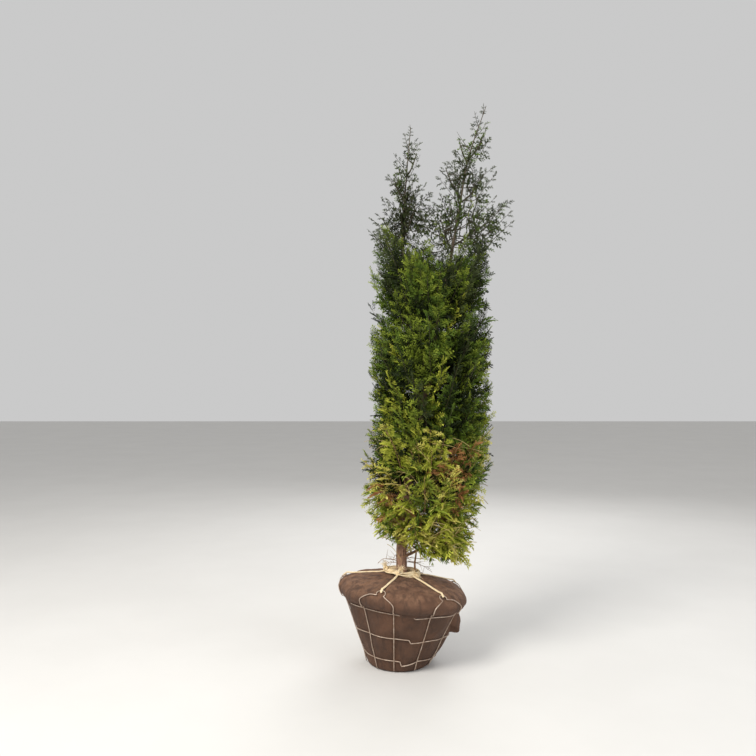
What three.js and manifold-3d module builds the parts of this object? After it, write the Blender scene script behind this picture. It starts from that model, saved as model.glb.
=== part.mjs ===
// A column-shaped thuja on its root ball: a trunk with two leaders, boughs, masses of flat
// scale-leaf sprays, and a burlap-wrapped ball held in a welded wire basket and lashed with twine.
// Millimetres, +Z up. The origin is the centre of the ball's flat underside, and -Y is the front.
import * as THREE from "three";
import { mergeVertices } from "three/addons/utils/BufferGeometryUtils.js";
import Module from "manifold-3d";

const wasm = await Module();
wasm.setup();

const UP = new THREE.Vector3(0, 0, 1);
const CLEARANCE = 0.3; // between pieces that touch
const CUT_CLEARANCE = 0.38; // round a cut-out limb, whose flats lie nearer than its edges
const TURN = 2 * Math.PI;

// Root ball: the burlap's profile from the centre of the underside to the middle of the dome.
const ball = {
  columns: 40, // facets round the ball; the basket's wires and the lashings follow their edges
  firstColumn: -116, // degrees; the azimuth of column 0, where the first lashing hook is
  profile: [
    [138, 0],
    [151, 12],
    [167, 54],
    [189, 105],
    [212, 162],
    [238, 223],
    [263, 283],
    [284, 297],
    [298, 322],
    [290, 349],
    [261, 373],
    [200, 392],
    [112, 407],
  ],
  plateau: 413, // height of the middle of the dome
  lean: Math.tan(THREE.MathUtils.degToRad(3.5)), // the ball's axis leans to the right
  rightDrop: Math.tan(THREE.MathUtils.degToRad(6)), // and its rings drop to the right
  backDrop: Math.tan(THREE.MathUtils.degToRad(3.5)), // and a little to the back
  tiltFrom: 90, // the drops fade out below this height, so that the underside is level
  puff: 7, // how far the burlap bulges out between two upright wires
  lumps: 3.5, // and how uneven the earth in it is
};

const basket = {
  wire: 2.3, // wire radius
  sides: 3,
  ringLift: 3.8, // the rings' centre lines above the burlap; the hook wires cross outside them
  ringRows: [2, 4, 6], // rows of the ball's profile that the three rings lie on
  kinkColumns: [3, 4, 4], // where each ring is crimped tight
  kinkDepths: [20, 14, 9],
  kinkReach: 3,
  hookColumns: [0, 7.5, 16, 24, 32], // the middle of each hook wire's two uprights
  hookTops: [0.4, 7, 16, 24, 32], // and of its loop, which the lashing pulls aside
  // a hook wire's climb on one side: columns from the hook, row of the profile, lift
  climb: [
    [1.75, 1, 5.9],
    [1.75, 2.15, 5.9],
    [1.75, 3, 6.2],
    [1.75, 4.15, 5.9],
    [1.75, 6.15, 5.9],
    [1.75, 7, 6],
    [1.7, 8.2, 6],
    [0.8, 9.15, 6],
  ],
  hookRow: 9.5,
  hookLift: 7,
  hookRadius: 20,
  hookOpening: THREE.MathUtils.degToRad(20), // how far the hook bends past a half turn, at each end
  hookSteps: 4,
};
const firstUpright = 2; // columns from a hook to the upright beside it

const twine = {
  radius: 3.6,
  collarRadius: 7,
  collarSteps: 20,
  collarLift: 9.2, // of its centre line above the middle of the dome
  collarX: 76,
  collarY: 50,
  centreX: 17,
  centreY: -2,
  sides: 5,
  // a strand from inside a hook, over its crown and up the dome: row of the profile, lift
  strand: [
    [9.62, 11],
    [10.02, 15.2],
    [10.32, 9.4],
    [11, 4.5],
    [11.5, 4.5],
    [12, 4.5],
  ],
};

// Stems are given by evenly spaced heights, so that a height is a share of the stem's length.
const trunk = {
  foot: 402,
  tip: 2649,
  x: [12, 17, 54, 104, 146, 193, 243, 287, 332, 416],
  y: [0, 3, 6, 4, 0, -4, -4, 0, 2, 0],
  radii: [26, 23, 19.5, 16.5, 13, 10, 7, 5, 3.2, 1.4],
  flare: 9, // extra radius at the foot
  flareHeight: 70,
  sides: 9,
  steps: 24,
};

const secondLeader = {
  foot: 1150,
  tip: 2563,
  x: [110, 72, 42, 27, 22, 38, 58],
  y: [3, 30, 50, 60, 60, 55, 50],
  radii: [10.5, 9.5, 8, 6.4, 4.8, 3, 1.3],
  flare: 0,
  flareHeight: 1,
  sides: 6,
  steps: 12,
};

const basalShoot = {
  foot: 404,
  top: 560,
  x: 73,
  y: -6,
  leanX: 9,
  leanY: -12,
  radius: 5,
  tipRadius: 3.4,
  room: 2, // that the foliage leaves round it
  sides: 6,
  steps: 2,
};

// The crown's outline at rising heights: the middle of the column, and half its width and depth.
const column = [
  { height: 440, x: 190, half: 140 },
  { height: 520, x: 150, half: 195 },
  { height: 600, x: 125, half: 240 },
  { height: 730, x: 113, half: 292 },
  { height: 960, x: 130, half: 310 },
  { height: 1150, x: 150, half: 300 },
  { height: 1430, x: 150, half: 290 },
  { height: 1700, x: 146, half: 288 },
  { height: 1860, x: 150, half: 270 },
  { height: 1980, x: 160, half: 180 },
  { height: 2000, x: 160, half: 0 },
];
// The two open spires: half their width about their own leader.
const mainSpire = [
  { height: 1800, half: 285 },
  { height: 2100, half: 285 },
  { height: 2170, half: 268 },
  { height: 2260, half: 210 },
  { height: 2360, half: 136 },
  { height: 2460, half: 108 },
  { height: 2560, half: 64 },
  { height: 2655, half: 16 },
];
const spireTip = 6; // below the top of its outline, a spire's middle stops following its leader
const leftSpire = [
  { height: 1800, half: 235 },
  { height: 2075, half: 200 },
  { height: 2170, half: 152 },
  { height: 2354, half: 96 },
  { height: 2470, half: 70 },
  { height: 2568, half: 16 },
];

// Where the sprays of a mass stand: steps round the crown from the mass's middle, steps of height
// from it to the spray's root, and how near its tip comes to the crown's outline.
const fullPattern = [
  [-1, -1, 0.94],
  [0, -1.05, 0.96],
  [1, -0.95, 0.94],
  [-0.3, -0.5, 0.66],
  [-0.85, 0, 0.94],
  [1.05, 0.05, 0.94],
  [0.1, -0.1, 0.97],
];
const openPattern = [
  [-0.6, -1, 0.94],
  [0.5, -0.75, 0.97],
  [-0.4, -0.1, 0.97],
  [0.7, 0.2, 0.94],
  [0, 0.5, 0.7],
];

// The tiers of the column: one mass on each bough. A tier's height is where its boughs leave the
// trunk, its middle is the height of its masses' own middles, and rise is how steeply sprays stand.
const tiers = [
  { name: "skirt", height: 492, middle: 625, count: 5, turn: 18, rise: 40, step: 115 },
  { name: "lower", height: 690, middle: 885, count: 5, turn: 54, rise: 57, step: 138 },
  { name: "middle", height: 980, middle: 1175, count: 5, turn: 18, rise: 60, step: 142 },
  { name: "upper", height: 1275, middle: 1475, count: 4, turn: 62, rise: 62, step: 142 },
];
const tierMass = {
  away: 0.52, // from the crown's middle to a mass's own, as a share of the crown's half width
  stagger: 24, // each tier winds up the trunk by steps of this height
  boughShare: 0.42, // of the way out from the trunk to the mass's middle
  boughClimb: 0.3, // of the way up
  boughRadius: 8.5,
  boughTipRadius: 5.4,
  boughSides: 5,
  boughSteps: 3,
  pattern: fullPattern,
  spray: 178,
};
const secondLeaderSide = -0.25; // cosine of the azimuth beyond which upper boughs grow from it
const tierArc = 0.29; // between a tier's columns of sprays, as a share of the arc of one mass
const leaderStemClimb = 0.5; // of a stem's whole climb, how steeply it sets out from a leader
const stemTop = 45; // how far above a mass's middle its stem ends

// The masses that stand on the leaders themselves, without a bough. Those of the crest round off
// the column, and those of the spires stand round their own leader.
const crest = { middle: 175, rise: 64, step: 130, spray: 172, arc: 21, pattern: fullPattern };
const spire = { middle: 95, rise: 50, step: 85, spray: 136, arc: 62, pattern: openPattern };
const tuft = { middle: 60, rise: 58, step: 56, spray: 112, arc: 90, pattern: openPattern };
const leaderMasses = [
  { name: "crest_right_front", on: "trunk", height: 1640, azimuth: -30, ...crest },
  { name: "crest_right_back", on: "trunk", height: 1650, azimuth: 42, ...crest },
  { name: "crest_front", on: "trunk", height: 1630, azimuth: -102, ...crest },
  { name: "crest_left", on: "second_leader", height: 1645, azimuth: -174, ...crest },
  { name: "crest_back", on: "second_leader", height: 1635, azimuth: 114, ...crest },
  { name: "spire_right", on: "trunk", height: 1985, azimuth: -20, ...spire },
  { name: "spire_front", on: "trunk", height: 1960, azimuth: -125, ...spire },
  { name: "spire_back", on: "trunk", height: 2000, azimuth: 100, ...spire },
  { name: "spire_right_mid", on: "trunk", height: 2190, azimuth: 5, ...spire },
  { name: "spire_left_mid", on: "trunk", height: 2215, azimuth: 180, ...spire },
  { name: "spire_right_high", on: "trunk", height: 2400, azimuth: -20, ...tuft },
  { name: "spire_left_high", on: "trunk", height: 2385, azimuth: 165, ...tuft },
  { name: "second_left", on: "second_leader", height: 1990, azimuth: 175, ...spire },
  { name: "second_front", on: "second_leader", height: 2040, azimuth: -50, ...spire },
  { name: "second_high", on: "second_leader", height: 2220, azimuth: 160, ...tuft },
  { name: "second_tip", on: "second_leader", height: 2330, azimuth: -20, ...tuft },
];
const crestTop = 1880; // sprays above this height keep the column's width at it

const twigShape = {
  radius: 2,
  tipRadius: 1.7,
  bareStem: 5, // radius of the stem of a mass without a bough
  stemTaper: 1 / 3,
  stemSides: 3,
  stemSteps: 3,
  leastBend: -0.1, // cosine of the sharpest bend between a twig and its spray
  feet: [0.18, 0.86], // of the stem, where the first twig and the last one leave it
  strayAzimuth: 12, // degrees
  strayHeight: 22,
  strayRise: 16,
  strayLength: 0.2,
  twist: 0.9,
};

const sprayShape = {
  width: 0.66, // of its length
  thickness: 0.028,
  thinnest: 4,
  nod: 0.1, // how far its tip bends over, of its length
  // one side's teeth: share of the length, share of the half width
  outline: [
    [0.24, 0.68],
    [0.34, 0.42],
    [0.55, 1],
    [0.72, 0.56],
  ],
  middle: 0.5,
  shared: 0.08, // of its length from its root, where another spray of its mass may cross it
  // tried in turn until a spray keeps to the mass's space and clear of the rest: its length, how
  // far it is drawn in, and how far its twig's foot slides along the stem
  tries: [
    [1, 1, 0],
    [1, 0.92, 0.06],
    [1, 0.92, -0.06],
    [0.9, 0.96, 0.12],
    [0.9, 0.86, 0],
    [0.8, 0.9, 0.06],
    [0.8, 0.8, -0.06],
    [0.68, 0.9, 0.12],
    [0.68, 0.8, -0.12],
    [0.56, 0.72, 0],
  ],
};
const massGap = 1.2; // between the spaces of two masses
const lowestSpray = 440;
const smallestFacet = 0.8; // details smaller than this are smoothed away once a mass's parts are joined

const paint = {
  bark: { color: 0x7e6250, roughness: 0.9, metalness: 0 },
  foliage: { color: 0x576326, roughness: 0.75, metalness: 0 },
  burlap: { color: 0x79604c, roughness: 0.95, metalness: 0 },
  wire: { color: 0xb9a58f, roughness: 0.45, metalness: 0.8 },
  twine: { color: 0xd9bd93, roughness: 0.9, metalness: 0 },
};
const material = Object.fromEntries(
  Object.entries(paint).map(([name, values]) => [name, new THREE.MeshStandardMaterial(values)]),
);

// A seeded stream of numbers from 0 to 1.
function randomStream(seed) {
  let state = seed >>> 0;
  const draw = () => {
    state = (Math.imul(state, 1664525) + 1013904223) >>> 0;
    return state / 2 ** 32;
  };
  for (let warmUp = 0; warmUp < 4; warmUp += 1) draw();
  return draw;
}

// The value of a list of numbers at a share of its length, in straight steps.
function along(values, share) {
  const place = THREE.MathUtils.clamp(share, 0, 1) * (values.length - 1);
  const before = Math.min(Math.floor(place), values.length - 2);
  return THREE.MathUtils.lerp(values[before], values[before + 1], place - before);
}

// The value named by key at a height, in a list of rising heights.
function atHeight(stations, height, key) {
  const next = stations.findIndex((station) => station.height > height);
  if (next === 0 || next === -1) return next === 0 ? stations[0][key] : 0;
  const [low, high] = [stations[next - 1], stations[next]];
  const share = (height - low.height) / (high.height - low.height);
  return THREE.MathUtils.lerp(low[key], high[key], share);
}

function toSolid(geometry) {
  const bare = geometry.clone();
  bare.deleteAttribute("normal");
  bare.deleteAttribute("uv");
  const merged = mergeVertices(bare, 1e-4);
  return new wasm.Manifold(
    new wasm.Mesh({
      numProp: 3,
      vertProperties: merged.attributes.position.array,
      triVerts: new Uint32Array(merged.index.array),
    }),
  );
}

function facetedSolid(corners, faces) {
  const geometry = new THREE.BufferGeometry();
  const coordinates = corners.flatMap((corner) => corner.toArray());
  geometry.setAttribute("position", new THREE.Float32BufferAttribute(coordinates, 3));
  geometry.setIndex(faces);
  const solid = toSolid(geometry);
  return solid.volume() < 0 ? toSolid(turnedRound(geometry)) : solid;
}

function toMesh(solid, name, finish) {
  const { numProp, numVert, vertProperties, triVerts } = solid.getMesh();
  const positions = new Float32Array(numVert * 3);
  for (let i = 0; i < numVert; i += 1) {
    positions.set(vertProperties.subarray(i * numProp, i * numProp + 3), i * 3);
  }
  const geometry = new THREE.BufferGeometry();
  geometry.setAttribute("position", new THREE.BufferAttribute(positions, 3));
  geometry.setIndex(new THREE.BufferAttribute(new Uint32Array(triVerts), 1));
  const mesh = new THREE.Mesh(geometry, finish);
  mesh.name = name;
  return mesh;
}

function largestBody(solid) {
  return solid.decompose().sort((a, b) => b.volume() - a.volume())[0];
}

// A cylinder bent along a path: pointAt and radiusAt take a share from 0 at the foot to 1 at the tip.
function limbGeometry(pointAt, radiusAt, sides, steps, levelFoot = false) {
  const geometry = new THREE.CylinderGeometry(1, 1, 1, sides, steps);
  const position = geometry.attributes.position;
  const step = 1e-3;
  const local = new THREE.Vector3();
  for (let i = 0; i < position.count; i += 1) {
    local.fromBufferAttribute(position, i);
    const share = local.y + 0.5;
    const centre = pointAt(share);
    const tangent = pointAt(Math.min(share + step, 1)).sub(pointAt(Math.max(share - step, 0)));
    if (levelFoot && share < step) tangent.copy(UP);
    tangent.normalize();
    const side = new THREE.Vector3(1, 0, 0).addScaledVector(tangent, -tangent.x);
    if (side.lengthSq() < 0.1) side.set(0, 1, 0).addScaledVector(tangent, -tangent.y);
    side.normalize();
    const other = new THREE.Vector3().crossVectors(tangent, side);
    const radius = radiusAt(share);
    // the cylinder's own x and z turn round its axis, and keep its faces pointing out
    centre.addScaledVector(side, local.z * radius).addScaledVector(other, local.x * radius);
    position.setXYZ(i, centre.x, centre.y, centre.z);
  }
  return geometry;
}

// A leader or the trunk: where it is at a height, how thick it is there, and its solid.
function makeLeader(shape) {
  const rise = shape.tip - shape.foot;
  const knots = shape.x.map(
    (x, i) => new THREE.Vector3(x, shape.y[i], shape.foot + (rise * i) / (shape.x.length - 1)),
  );
  const curve = new THREE.CatmullRomCurve3(knots, false, "catmullrom", 0.5);
  const radiusAt = (share) => {
    const flare = Math.max(0, 1 - (share * rise) / shape.flareHeight);
    return along(shape.radii, share) + shape.flare * flare * flare;
  };
  const build = (extra) =>
    toSolid(
      limbGeometry(
        (share) => curve.getPoint(share),
        (share) => radiusAt(share) + extra,
        shape.sides,
        shape.steps,
        true,
      ),
    );
  return {
    at: (height) => curve.getPoint((height - shape.foot) / rise),
    radius: (height) => radiusAt((height - shape.foot) / rise),
    build,
  };
}

function direction(azimuthDegrees, riseDegrees) {
  const azimuth = THREE.MathUtils.degToRad(azimuthDegrees);
  const rise = THREE.MathUtils.degToRad(riseDegrees);
  return new THREE.Vector3(
    Math.cos(rise) * Math.cos(azimuth),
    Math.cos(rise) * Math.sin(azimuth),
    Math.sin(rise),
  );
}

// A straight limb that lifts towards the sky as it goes.
function liftedPath(base, heading, length, lift) {
  return (share) =>
    base
      .clone()
      .addScaledVector(heading, length * share)
      .addScaledVector(UP, lift * length * share * share);
}

// The root ball's surface. A column is an edge line of the lathe, and a row is a point of its profile.
function ballPoint(columnNumber, row, lift = 0) {
  const rows = ball.profile.length;
  const angle =
    THREE.MathUtils.degToRad(ball.firstColumn) + (columnNumber * TURN) / ball.columns;
  const low = Math.min(Math.floor(row), rows - 2);
  const share = row - low;
  const [r0, z0] = ball.profile[low];
  const [r1, z1] = ball.profile[low + 1];
  const height = THREE.MathUtils.lerp(z0, z1, share);
  const slope = new THREE.Vector2(z1 - z0, r0 - r1).normalize(); // outward normal, in r and z
  const perPanel = 2 * firstUpright;
  const panel = ((columnNumber - firstUpright) / perPanel) % 1;
  const bulge = Math.sin(Math.PI * Math.abs(panel)) * Math.min(1, height / ball.tiltFrom);
  const lump =
    ball.lumps *
    (Math.sin(3 * angle + height / 60) + Math.sin(7 * angle - height / 45)) *
    THREE.MathUtils.smoothstep(height, 0, ball.tiltFrom);
  const radius = THREE.MathUtils.lerp(r0, r1, share) + ball.puff * bulge + lump;
  const outward = radius + lift * slope.x;
  return leaned(outward * Math.cos(angle), outward * Math.sin(angle), height + lift * slope.y);
}

function leaned(x, y, z) {
  const tilt = THREE.MathUtils.smoothstep(z, 0, ball.tiltFrom);
  return new THREE.Vector3(
    x + ball.lean * z,
    y,
    z - tilt * (ball.rightDrop * x + ball.backDrop * y),
  );
}

function makeBall(trunkSocket) {
  const points = [[0, 0], ...ball.profile, [0, ball.plateau]].map((p) => new THREE.Vector2(...p));
  const geometry = new THREE.LatheGeometry(points, ball.columns);
  const position = geometry.attributes.position;
  const rows = points.length;
  for (let i = 0; i < position.count; i += 1) {
    const columnNumber = Math.floor(i / rows) % ball.columns;
    const row = i % rows;
    let point;
    if (row === 0) point = leaned(0, 0, 0);
    else if (row === rows - 1) point = leaned(0, 0, ball.plateau);
    else point = ballPoint(columnNumber, row - 1);
    position.setXYZ(i, point.x, point.y, point.z);
  }
  const flipped = toSolid(geometry);
  const solid = flipped.volume() < 0 ? toSolid(turnedRound(geometry)) : flipped;
  return solid.subtract(trunkSocket);
}

function turnedRound(geometry) {
  const index = geometry.index.array;
  for (let i = 0; i < index.length; i += 3) [index[i], index[i + 1]] = [index[i + 1], index[i]];
  return geometry;
}

// A wire or cord through a list of points; a closed one runs on from the last point to the first.
function rod(points, radius, sides, closed = false) {
  const count = points.length;
  const corners = points.flatMap((point, i) => {
    const before = points[closed ? (i + count - 1) % count : Math.max(i - 1, 0)];
    const after = points[closed ? (i + 1) % count : Math.min(i + 1, count - 1)];
    const tangent = after.clone().sub(before).normalize();
    const outward = new THREE.Vector3(point.x, point.y, 0);
    const side = new THREE.Vector3().crossVectors(outward, tangent).normalize();
    const other = new THREE.Vector3().crossVectors(tangent, side);
    return Array.from({ length: sides }, (_, k) => {
      const angle = (TURN * (k + 0.5)) / sides;
      return point
        .clone()
        .addScaledVector(side, Math.cos(angle) * radius)
        .addScaledVector(other, Math.sin(angle) * radius);
    });
  });
  const faces = [];
  for (let i = 0; i < (closed ? count : count - 1); i += 1) {
    const [near, far] = [i * sides, ((i + 1) % count) * sides];
    for (let k = 0; k < sides; k += 1) {
      const next = (k + 1) % sides;
      faces.push(near + k, near + next, far + next, near + k, far + next, far + k);
    }
  }
  if (!closed) {
    const last = (count - 1) * sides;
    for (let k = 1; k < sides - 1; k += 1) faces.push(0, k + 1, k, last, last + k, last + k + 1);
  }
  return facetedSolid(corners, faces);
}

function makeBasket() {
  const rings = basket.ringRows.map((row, ring) => {
    const depth = basket.kinkDepths[ring];
    const points = [];
    for (let c = 0; c < ball.columns; c += 1) {
      const point = ballPoint(c, row, basket.ringLift);
      // the crimp drops sharply, and the ring climbs back over the next columns
      const past = (c - basket.kinkColumns[ring] + ball.columns) % ball.columns;
      if (past < basket.kinkReach) point.z -= depth * (1 - past / basket.kinkReach);
      points.push(point);
    }
    return rod(points, basket.wire, basket.sides, true);
  });
  const hookWires = basket.hookColumns.map((middle, i) => makeHookWire(middle, basket.hookTops[i]));
  return wasm.Manifold.union([...rings, ...hookWires]);
}

// One bent wire: up beside the hook, over the burlap's bulge, round the hook and down the other side.
function makeHookWire(middle, top) {
  const wireAt = ([away, row, lift], sign) => ballPoint(middle + sign * away, row, lift);
  const points = basket.climb.map((station) => wireAt(station, -1));
  const centre = ballPoint(top, basket.hookRow, basket.hookLift);
  const uphill = ballPoint(top, basket.hookRow + 0.4, basket.hookLift).sub(centre).normalize();
  const across = ballPoint(top + 1, basket.hookRow, basket.hookLift).sub(centre).normalize();
  const sweep = Math.PI + 2 * basket.hookOpening;
  for (let k = 0; k <= basket.hookSteps; k += 1) {
    const angle = Math.PI + basket.hookOpening - (sweep * k) / basket.hookSteps;
    points.push(
      centre
        .clone()
        .addScaledVector(across, Math.cos(angle) * basket.hookRadius)
        .addScaledVector(uphill, Math.sin(angle) * basket.hookRadius),
    );
  }
  points.push(...basket.climb.map((station) => wireAt(station, 1)).reverse());
  return rod(points, basket.wire, basket.sides);
}

// The collar round the trunk's foot, and a strand from it to each hook of the basket.
function makeTwine() {
  const collarHeight = ball.plateau + twine.collarLift;
  const collar = [];
  for (let i = 0; i < twine.collarSteps; i += 1) {
    const angle = (TURN * i) / twine.collarSteps;
    const x = twine.centreX + twine.collarX * Math.cos(angle);
    const y = twine.centreY + twine.collarY * Math.sin(angle);
    collar.push(new THREE.Vector3(x, y, collarHeight - ball.rightDrop * (x - twine.centreX)));
  }
  const pieces = [rod(collar, twine.collarRadius, twine.sides, true)];
  for (const top of basket.hookTops) {
    const strand = twine.strand.map(([row, lift]) => ballPoint(top, row, lift));
    const end = strand.at(-1);
    const near = collar.reduce((a, b) => (a.distanceTo(end) < b.distanceTo(end) ? a : b));
    strand.push(near.clone());
    pieces.push(rod(strand, twine.radius, twine.sides));
  }
  return wasm.Manifold.union(pieces);
}

// A twig that ends in a flat spray of scale leaves: a toothed blade, thickest in its middle, that
// nods towards its face. The twig runs straight from its foot to the blade's root.
function makeSpray(foot, root, axis, face, length) {
  const across = new THREE.Vector3().crossVectors(face, axis);
  const half = (length * sprayShape.width) / 2;
  const proud = Math.max(length * sprayShape.thickness, sprayShape.thinnest) / 2;
  const place = (share, side, above = 0) =>
    root
      .clone()
      .addScaledVector(axis, share * length)
      .addScaledVector(across, side * half)
      .addScaledVector(face, above + sprayShape.nod * length * share * share);
  const heading = root.clone().sub(foot).normalize();
  const bend = heading.clone().add(axis).normalize();
  // three corners of the twig at a point: right, upper and left, as seen from its foot
  const ring = (centre, towards, radius) => {
    const turn = new THREE.Quaternion().setFromUnitVectors(axis, towards);
    const right = across.clone().applyQuaternion(turn).multiplyScalar(radius);
    const above = face.clone().applyQuaternion(turn).multiplyScalar(radius);
    return [
      centre.clone().add(right).addScaledVector(above, -0.5),
      centre.clone().add(above),
      centre.clone().sub(right).addScaledVector(above, -0.5),
    ];
  };
  const footRing = ring(foot, heading, twigShape.radius);
  const rootRing = ring(root, bend, twigShape.tipRadius);
  const rightRim = sprayShape.outline.map(([share, side]) => place(share, side));
  const leftRim = sprayShape.outline.map(([share, side]) => place(share, -side)).reverse();
  const rim = [rootRing[0], ...rightRim, place(1, 0), ...leftRim, rootRing[2]];
  const blade = [...rim, rootRing[1], place(sprayShape.middle, 0, proud)];
  const corners = [...blade, place(sprayShape.middle, 0, -proud), ...footRing];
  const left = rim.length - 1;
  const [upper, over, under, feet] = [left + 1, left + 2, left + 3, left + 4];
  const faces = [over, 0, upper, over, upper, left, under, left, 0];
  for (let i = 0; i < left; i += 1) faces.push(over, i + 1, i, under, i, i + 1);
  for (const [near, far, i, next] of [
    [0, upper, 0, 1],
    [upper, left, 1, 2],
    [left, 0, 2, 0],
  ]) {
    faces.push(feet + i, feet + next, far, feet + i, far, near);
  }
  faces.push(feet, feet + 2, feet + 1);
  return { solid: facetedSolid(corners, faces), corners: blade };
}

function insideCrown(point) {
  const middle = atHeight(column, point.z, "x");
  if (Math.hypot(point.x - middle, point.y) < atHeight(column, point.z, "half")) return true;
  return [
    [mainSpire, leaders.trunk],
    [leftSpire, leaders.second_leader],
  ].some(([outline, leader]) => {
    if (point.z < outline[0].height || point.z > outline.at(-1).height) return false;
    const centre = leader.at(Math.min(point.z, outline.at(-1).height - spireTip));
    const away = Math.hypot(point.x - centre.x, point.y - centre.y);
    return away < atHeight(outline, point.z, "half");
  });
}

// A mass keeps to the points that are nearer to its own middle than to any other mass's.
function inOwnSpace(point, mass) {
  const own = point.distanceTo(mass.middle);
  return masses.every((other) => {
    if (other === mass) return true;
    const apart = other.middle.distanceTo(mass.middle);
    const beyond = (point.distanceToSquared(other.middle) - own * own) / (2 * apart);
    return beyond > massGap / 2;
  });
}

const leaders = { trunk: makeLeader(trunk), second_leader: makeLeader(secondLeader) };

// Each tier's masses with their boughs, then the masses that stand on the leaders.
function planMasses() {
  const planned = [];
  tiers.forEach((tier, tierNumber) => {
    for (let k = 0; k < tier.count; k += 1) {
      const azimuth = tier.turn + (360 / tier.count) * k;
      const stagger = ((k * 2) % tier.count) * tierMass.stagger;
      // the upper boughs on the left grow from the second leader
      const leftward = Math.cos(THREE.MathUtils.degToRad(azimuth)) < secondLeaderSide;
      const on = tier.name === "upper" && leftward ? "second_leader" : "trunk";
      planned.push({
        ...tierMass,
        ...tier,
        name: `${tier.name}_${k + 1}`,
        base: leaders[on].at(tier.height + stagger),
        middle: columnPoint(tier.middle + stagger, azimuth, tierMass.away),
        azimuth,
        arc: (360 / tier.count) * tierArc,
        outlineAt: columnPoint,
        seed: 101 + tierNumber * 10 + k,
      });
    }
  });
  leaderMasses.forEach((given, k) => {
    const spireOutline = given.on === "trunk" ? mainSpire : leftSpire;
    const crestMass = given.name.startsWith("crest");
    const outlineAt = crestMass ? columnPoint : spirePoint(leaders[given.on], spireOutline);
    planned.push({
      ...given,
      base: leaders[given.on].at(given.height),
      middle: outlineAt(given.height + given.middle, given.azimuth, tierMass.away),
      outlineAt,
      boughShare: 0,
      boughClimb: 0,
      seed: 301 + k,
    });
  });
  return planned;
}

// A point in the crown's column or in a spire, at a height and an azimuth, and at a share of the
// way from its middle to its outline.
function columnPoint(height, azimuth, share) {
  const level = Math.min(height, crestTop);
  const middle = new THREE.Vector3(atHeight(column, level, "x"), 0, height);
  return middle.addScaledVector(direction(azimuth, 0), atHeight(column, level, "half") * share);
}

function spirePoint(leader, outline) {
  return (height, azimuth, share) => {
    const level = Math.min(height, outline.at(-1).height - spireTip);
    const point = leader.at(level);
    point.z = height;
    return point.addScaledVector(direction(azimuth, 0), atHeight(outline, level, "half") * share);
  };
}

// The straight bough of a tier's mass, and the stem that runs on from its tip and curves upwards
// past the mass's middle. A mass on a leader has the stem alone.
function planStem(mass) {
  const out = mass.middle.clone().sub(mass.base);
  const elbow = mass.base
    .clone()
    .addScaledVector(out, mass.boughShare)
    .setZ(mass.base.z + out.z * mass.boughClimb);
  const heading = mass.boughShare
    ? elbow.clone().sub(mass.base).normalize()
    : out.clone().setZ(out.z * leaderStemClimb).normalize();
  const start = mass.boughShare ? elbow.addScaledVector(heading, CLEARANCE) : mass.base.clone();
  const level = Math.hypot(heading.x, heading.y);
  const length = Math.hypot(mass.middle.x - start.x, mass.middle.y - start.y) / level;
  const lift = (mass.middle.z + stemTop - start.z) / length - heading.z;
  return {
    boughAt: liftedPath(mass.base, heading, mass.base.distanceTo(elbow) - CLEARANCE, 0),
    stemAt: liftedPath(start, heading, length, lift),
  };
}

// The seeded rule by which a mass grows: twigs leave its stem for places spread over its share of
// the crown's outline, and each bears a flat spray that stands up and faces outwards.
function growMass(mass, limbs) {
  const draw = randomStream(mass.seed);
  const stray = (amount) => (draw() - 0.5) * amount;
  const { stemAt } = planStem(mass);
  const stemRadius = mass.boughShare ? mass.boughTipRadius : twigShape.bareStem;
  const stemRadiusAt = (share) => stemRadius * (1 - share * twigShape.stemTaper);
  const stem = toSolid(
    limbGeometry(stemAt, stemRadiusAt, twigShape.stemSides, twigShape.stemSteps),
  );
  const sprays = [];
  const blades = [];
  const staysIn = (point) =>
    point.z > lowestSpray && insideCrown(point) && inOwnSpace(point, mass);

  mass.pattern.forEach(([round, up, reach], place) => {
    const footShare = THREE.MathUtils.lerp(...twigShape.feet, place / (mass.pattern.length - 1));
    const azimuthStray = stray(twigShape.strayAzimuth);
    const heightStray = stray(twigShape.strayHeight);
    const rise = mass.rise + stray(twigShape.strayRise);
    const fullLength = mass.spray * (1 + stray(twigShape.strayLength));
    const twist = stray(twigShape.twist);
    for (const [shorter, drawnIn, slide] of sprayShape.tries) {
      const azimuth = mass.azimuth + drawnIn * (round * mass.arc + azimuthStray);
      const height = mass.middle.z + drawnIn * (up * mass.step + heightStray);
      const axis = direction(azimuth, rise);
      const length = fullLength * shorter;
      const tip = mass.outlineAt(height + length * axis.z, azimuth, reach * drawnIn);
      const root = tip.addScaledVector(axis, -length);
      const face = direction(azimuth, 0);
      face.addScaledVector(axis, -face.dot(axis)).normalize();
      face.applyAxisAngle(axis, twist);
      const foot = stemAt(footShare + slide);
      const doublesBack = root.clone().sub(foot).normalize().dot(axis) < twigShape.leastBend;
      if (doublesBack) continue;
      const { solid, corners } = makeSpray(foot, root, axis, face, length);
      if (!corners.every(staysIn) || !limbs.intersect(solid).isEmpty()) continue;
      if (blades.some((other) => !other.intersect(solid).isEmpty())) continue;
      const bladeFrom = axis.dot(root) + length * sprayShape.shared;
      blades.push(solid.trimByPlane(axis.toArray(), bladeFrom));
      sprays.push(solid);
      break;
    }
  });
  const whole = wasm.Manifold.union([stem, ...sprays]).simplify(smallestFacet);
  return largestBody(whole.subtract(limbs)).simplify(CLEARANCE / 5);
}

const masses = planMasses();
const thuja = new THREE.Group();

function addPiece(solid, name, finish) {
  thuja.add(toMesh(solid, name, finish));
}

// The solid of a mass's bough, fattened by extra.
function buildBough(mass, extra) {
  const radiusAt = (share) =>
    THREE.MathUtils.lerp(mass.boughRadius, mass.boughTipRadius, share) + extra;
  return toSolid(
    limbGeometry(planStem(mass).boughAt, radiusAt, mass.boughSides, mass.boughSteps),
  );
}

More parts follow.
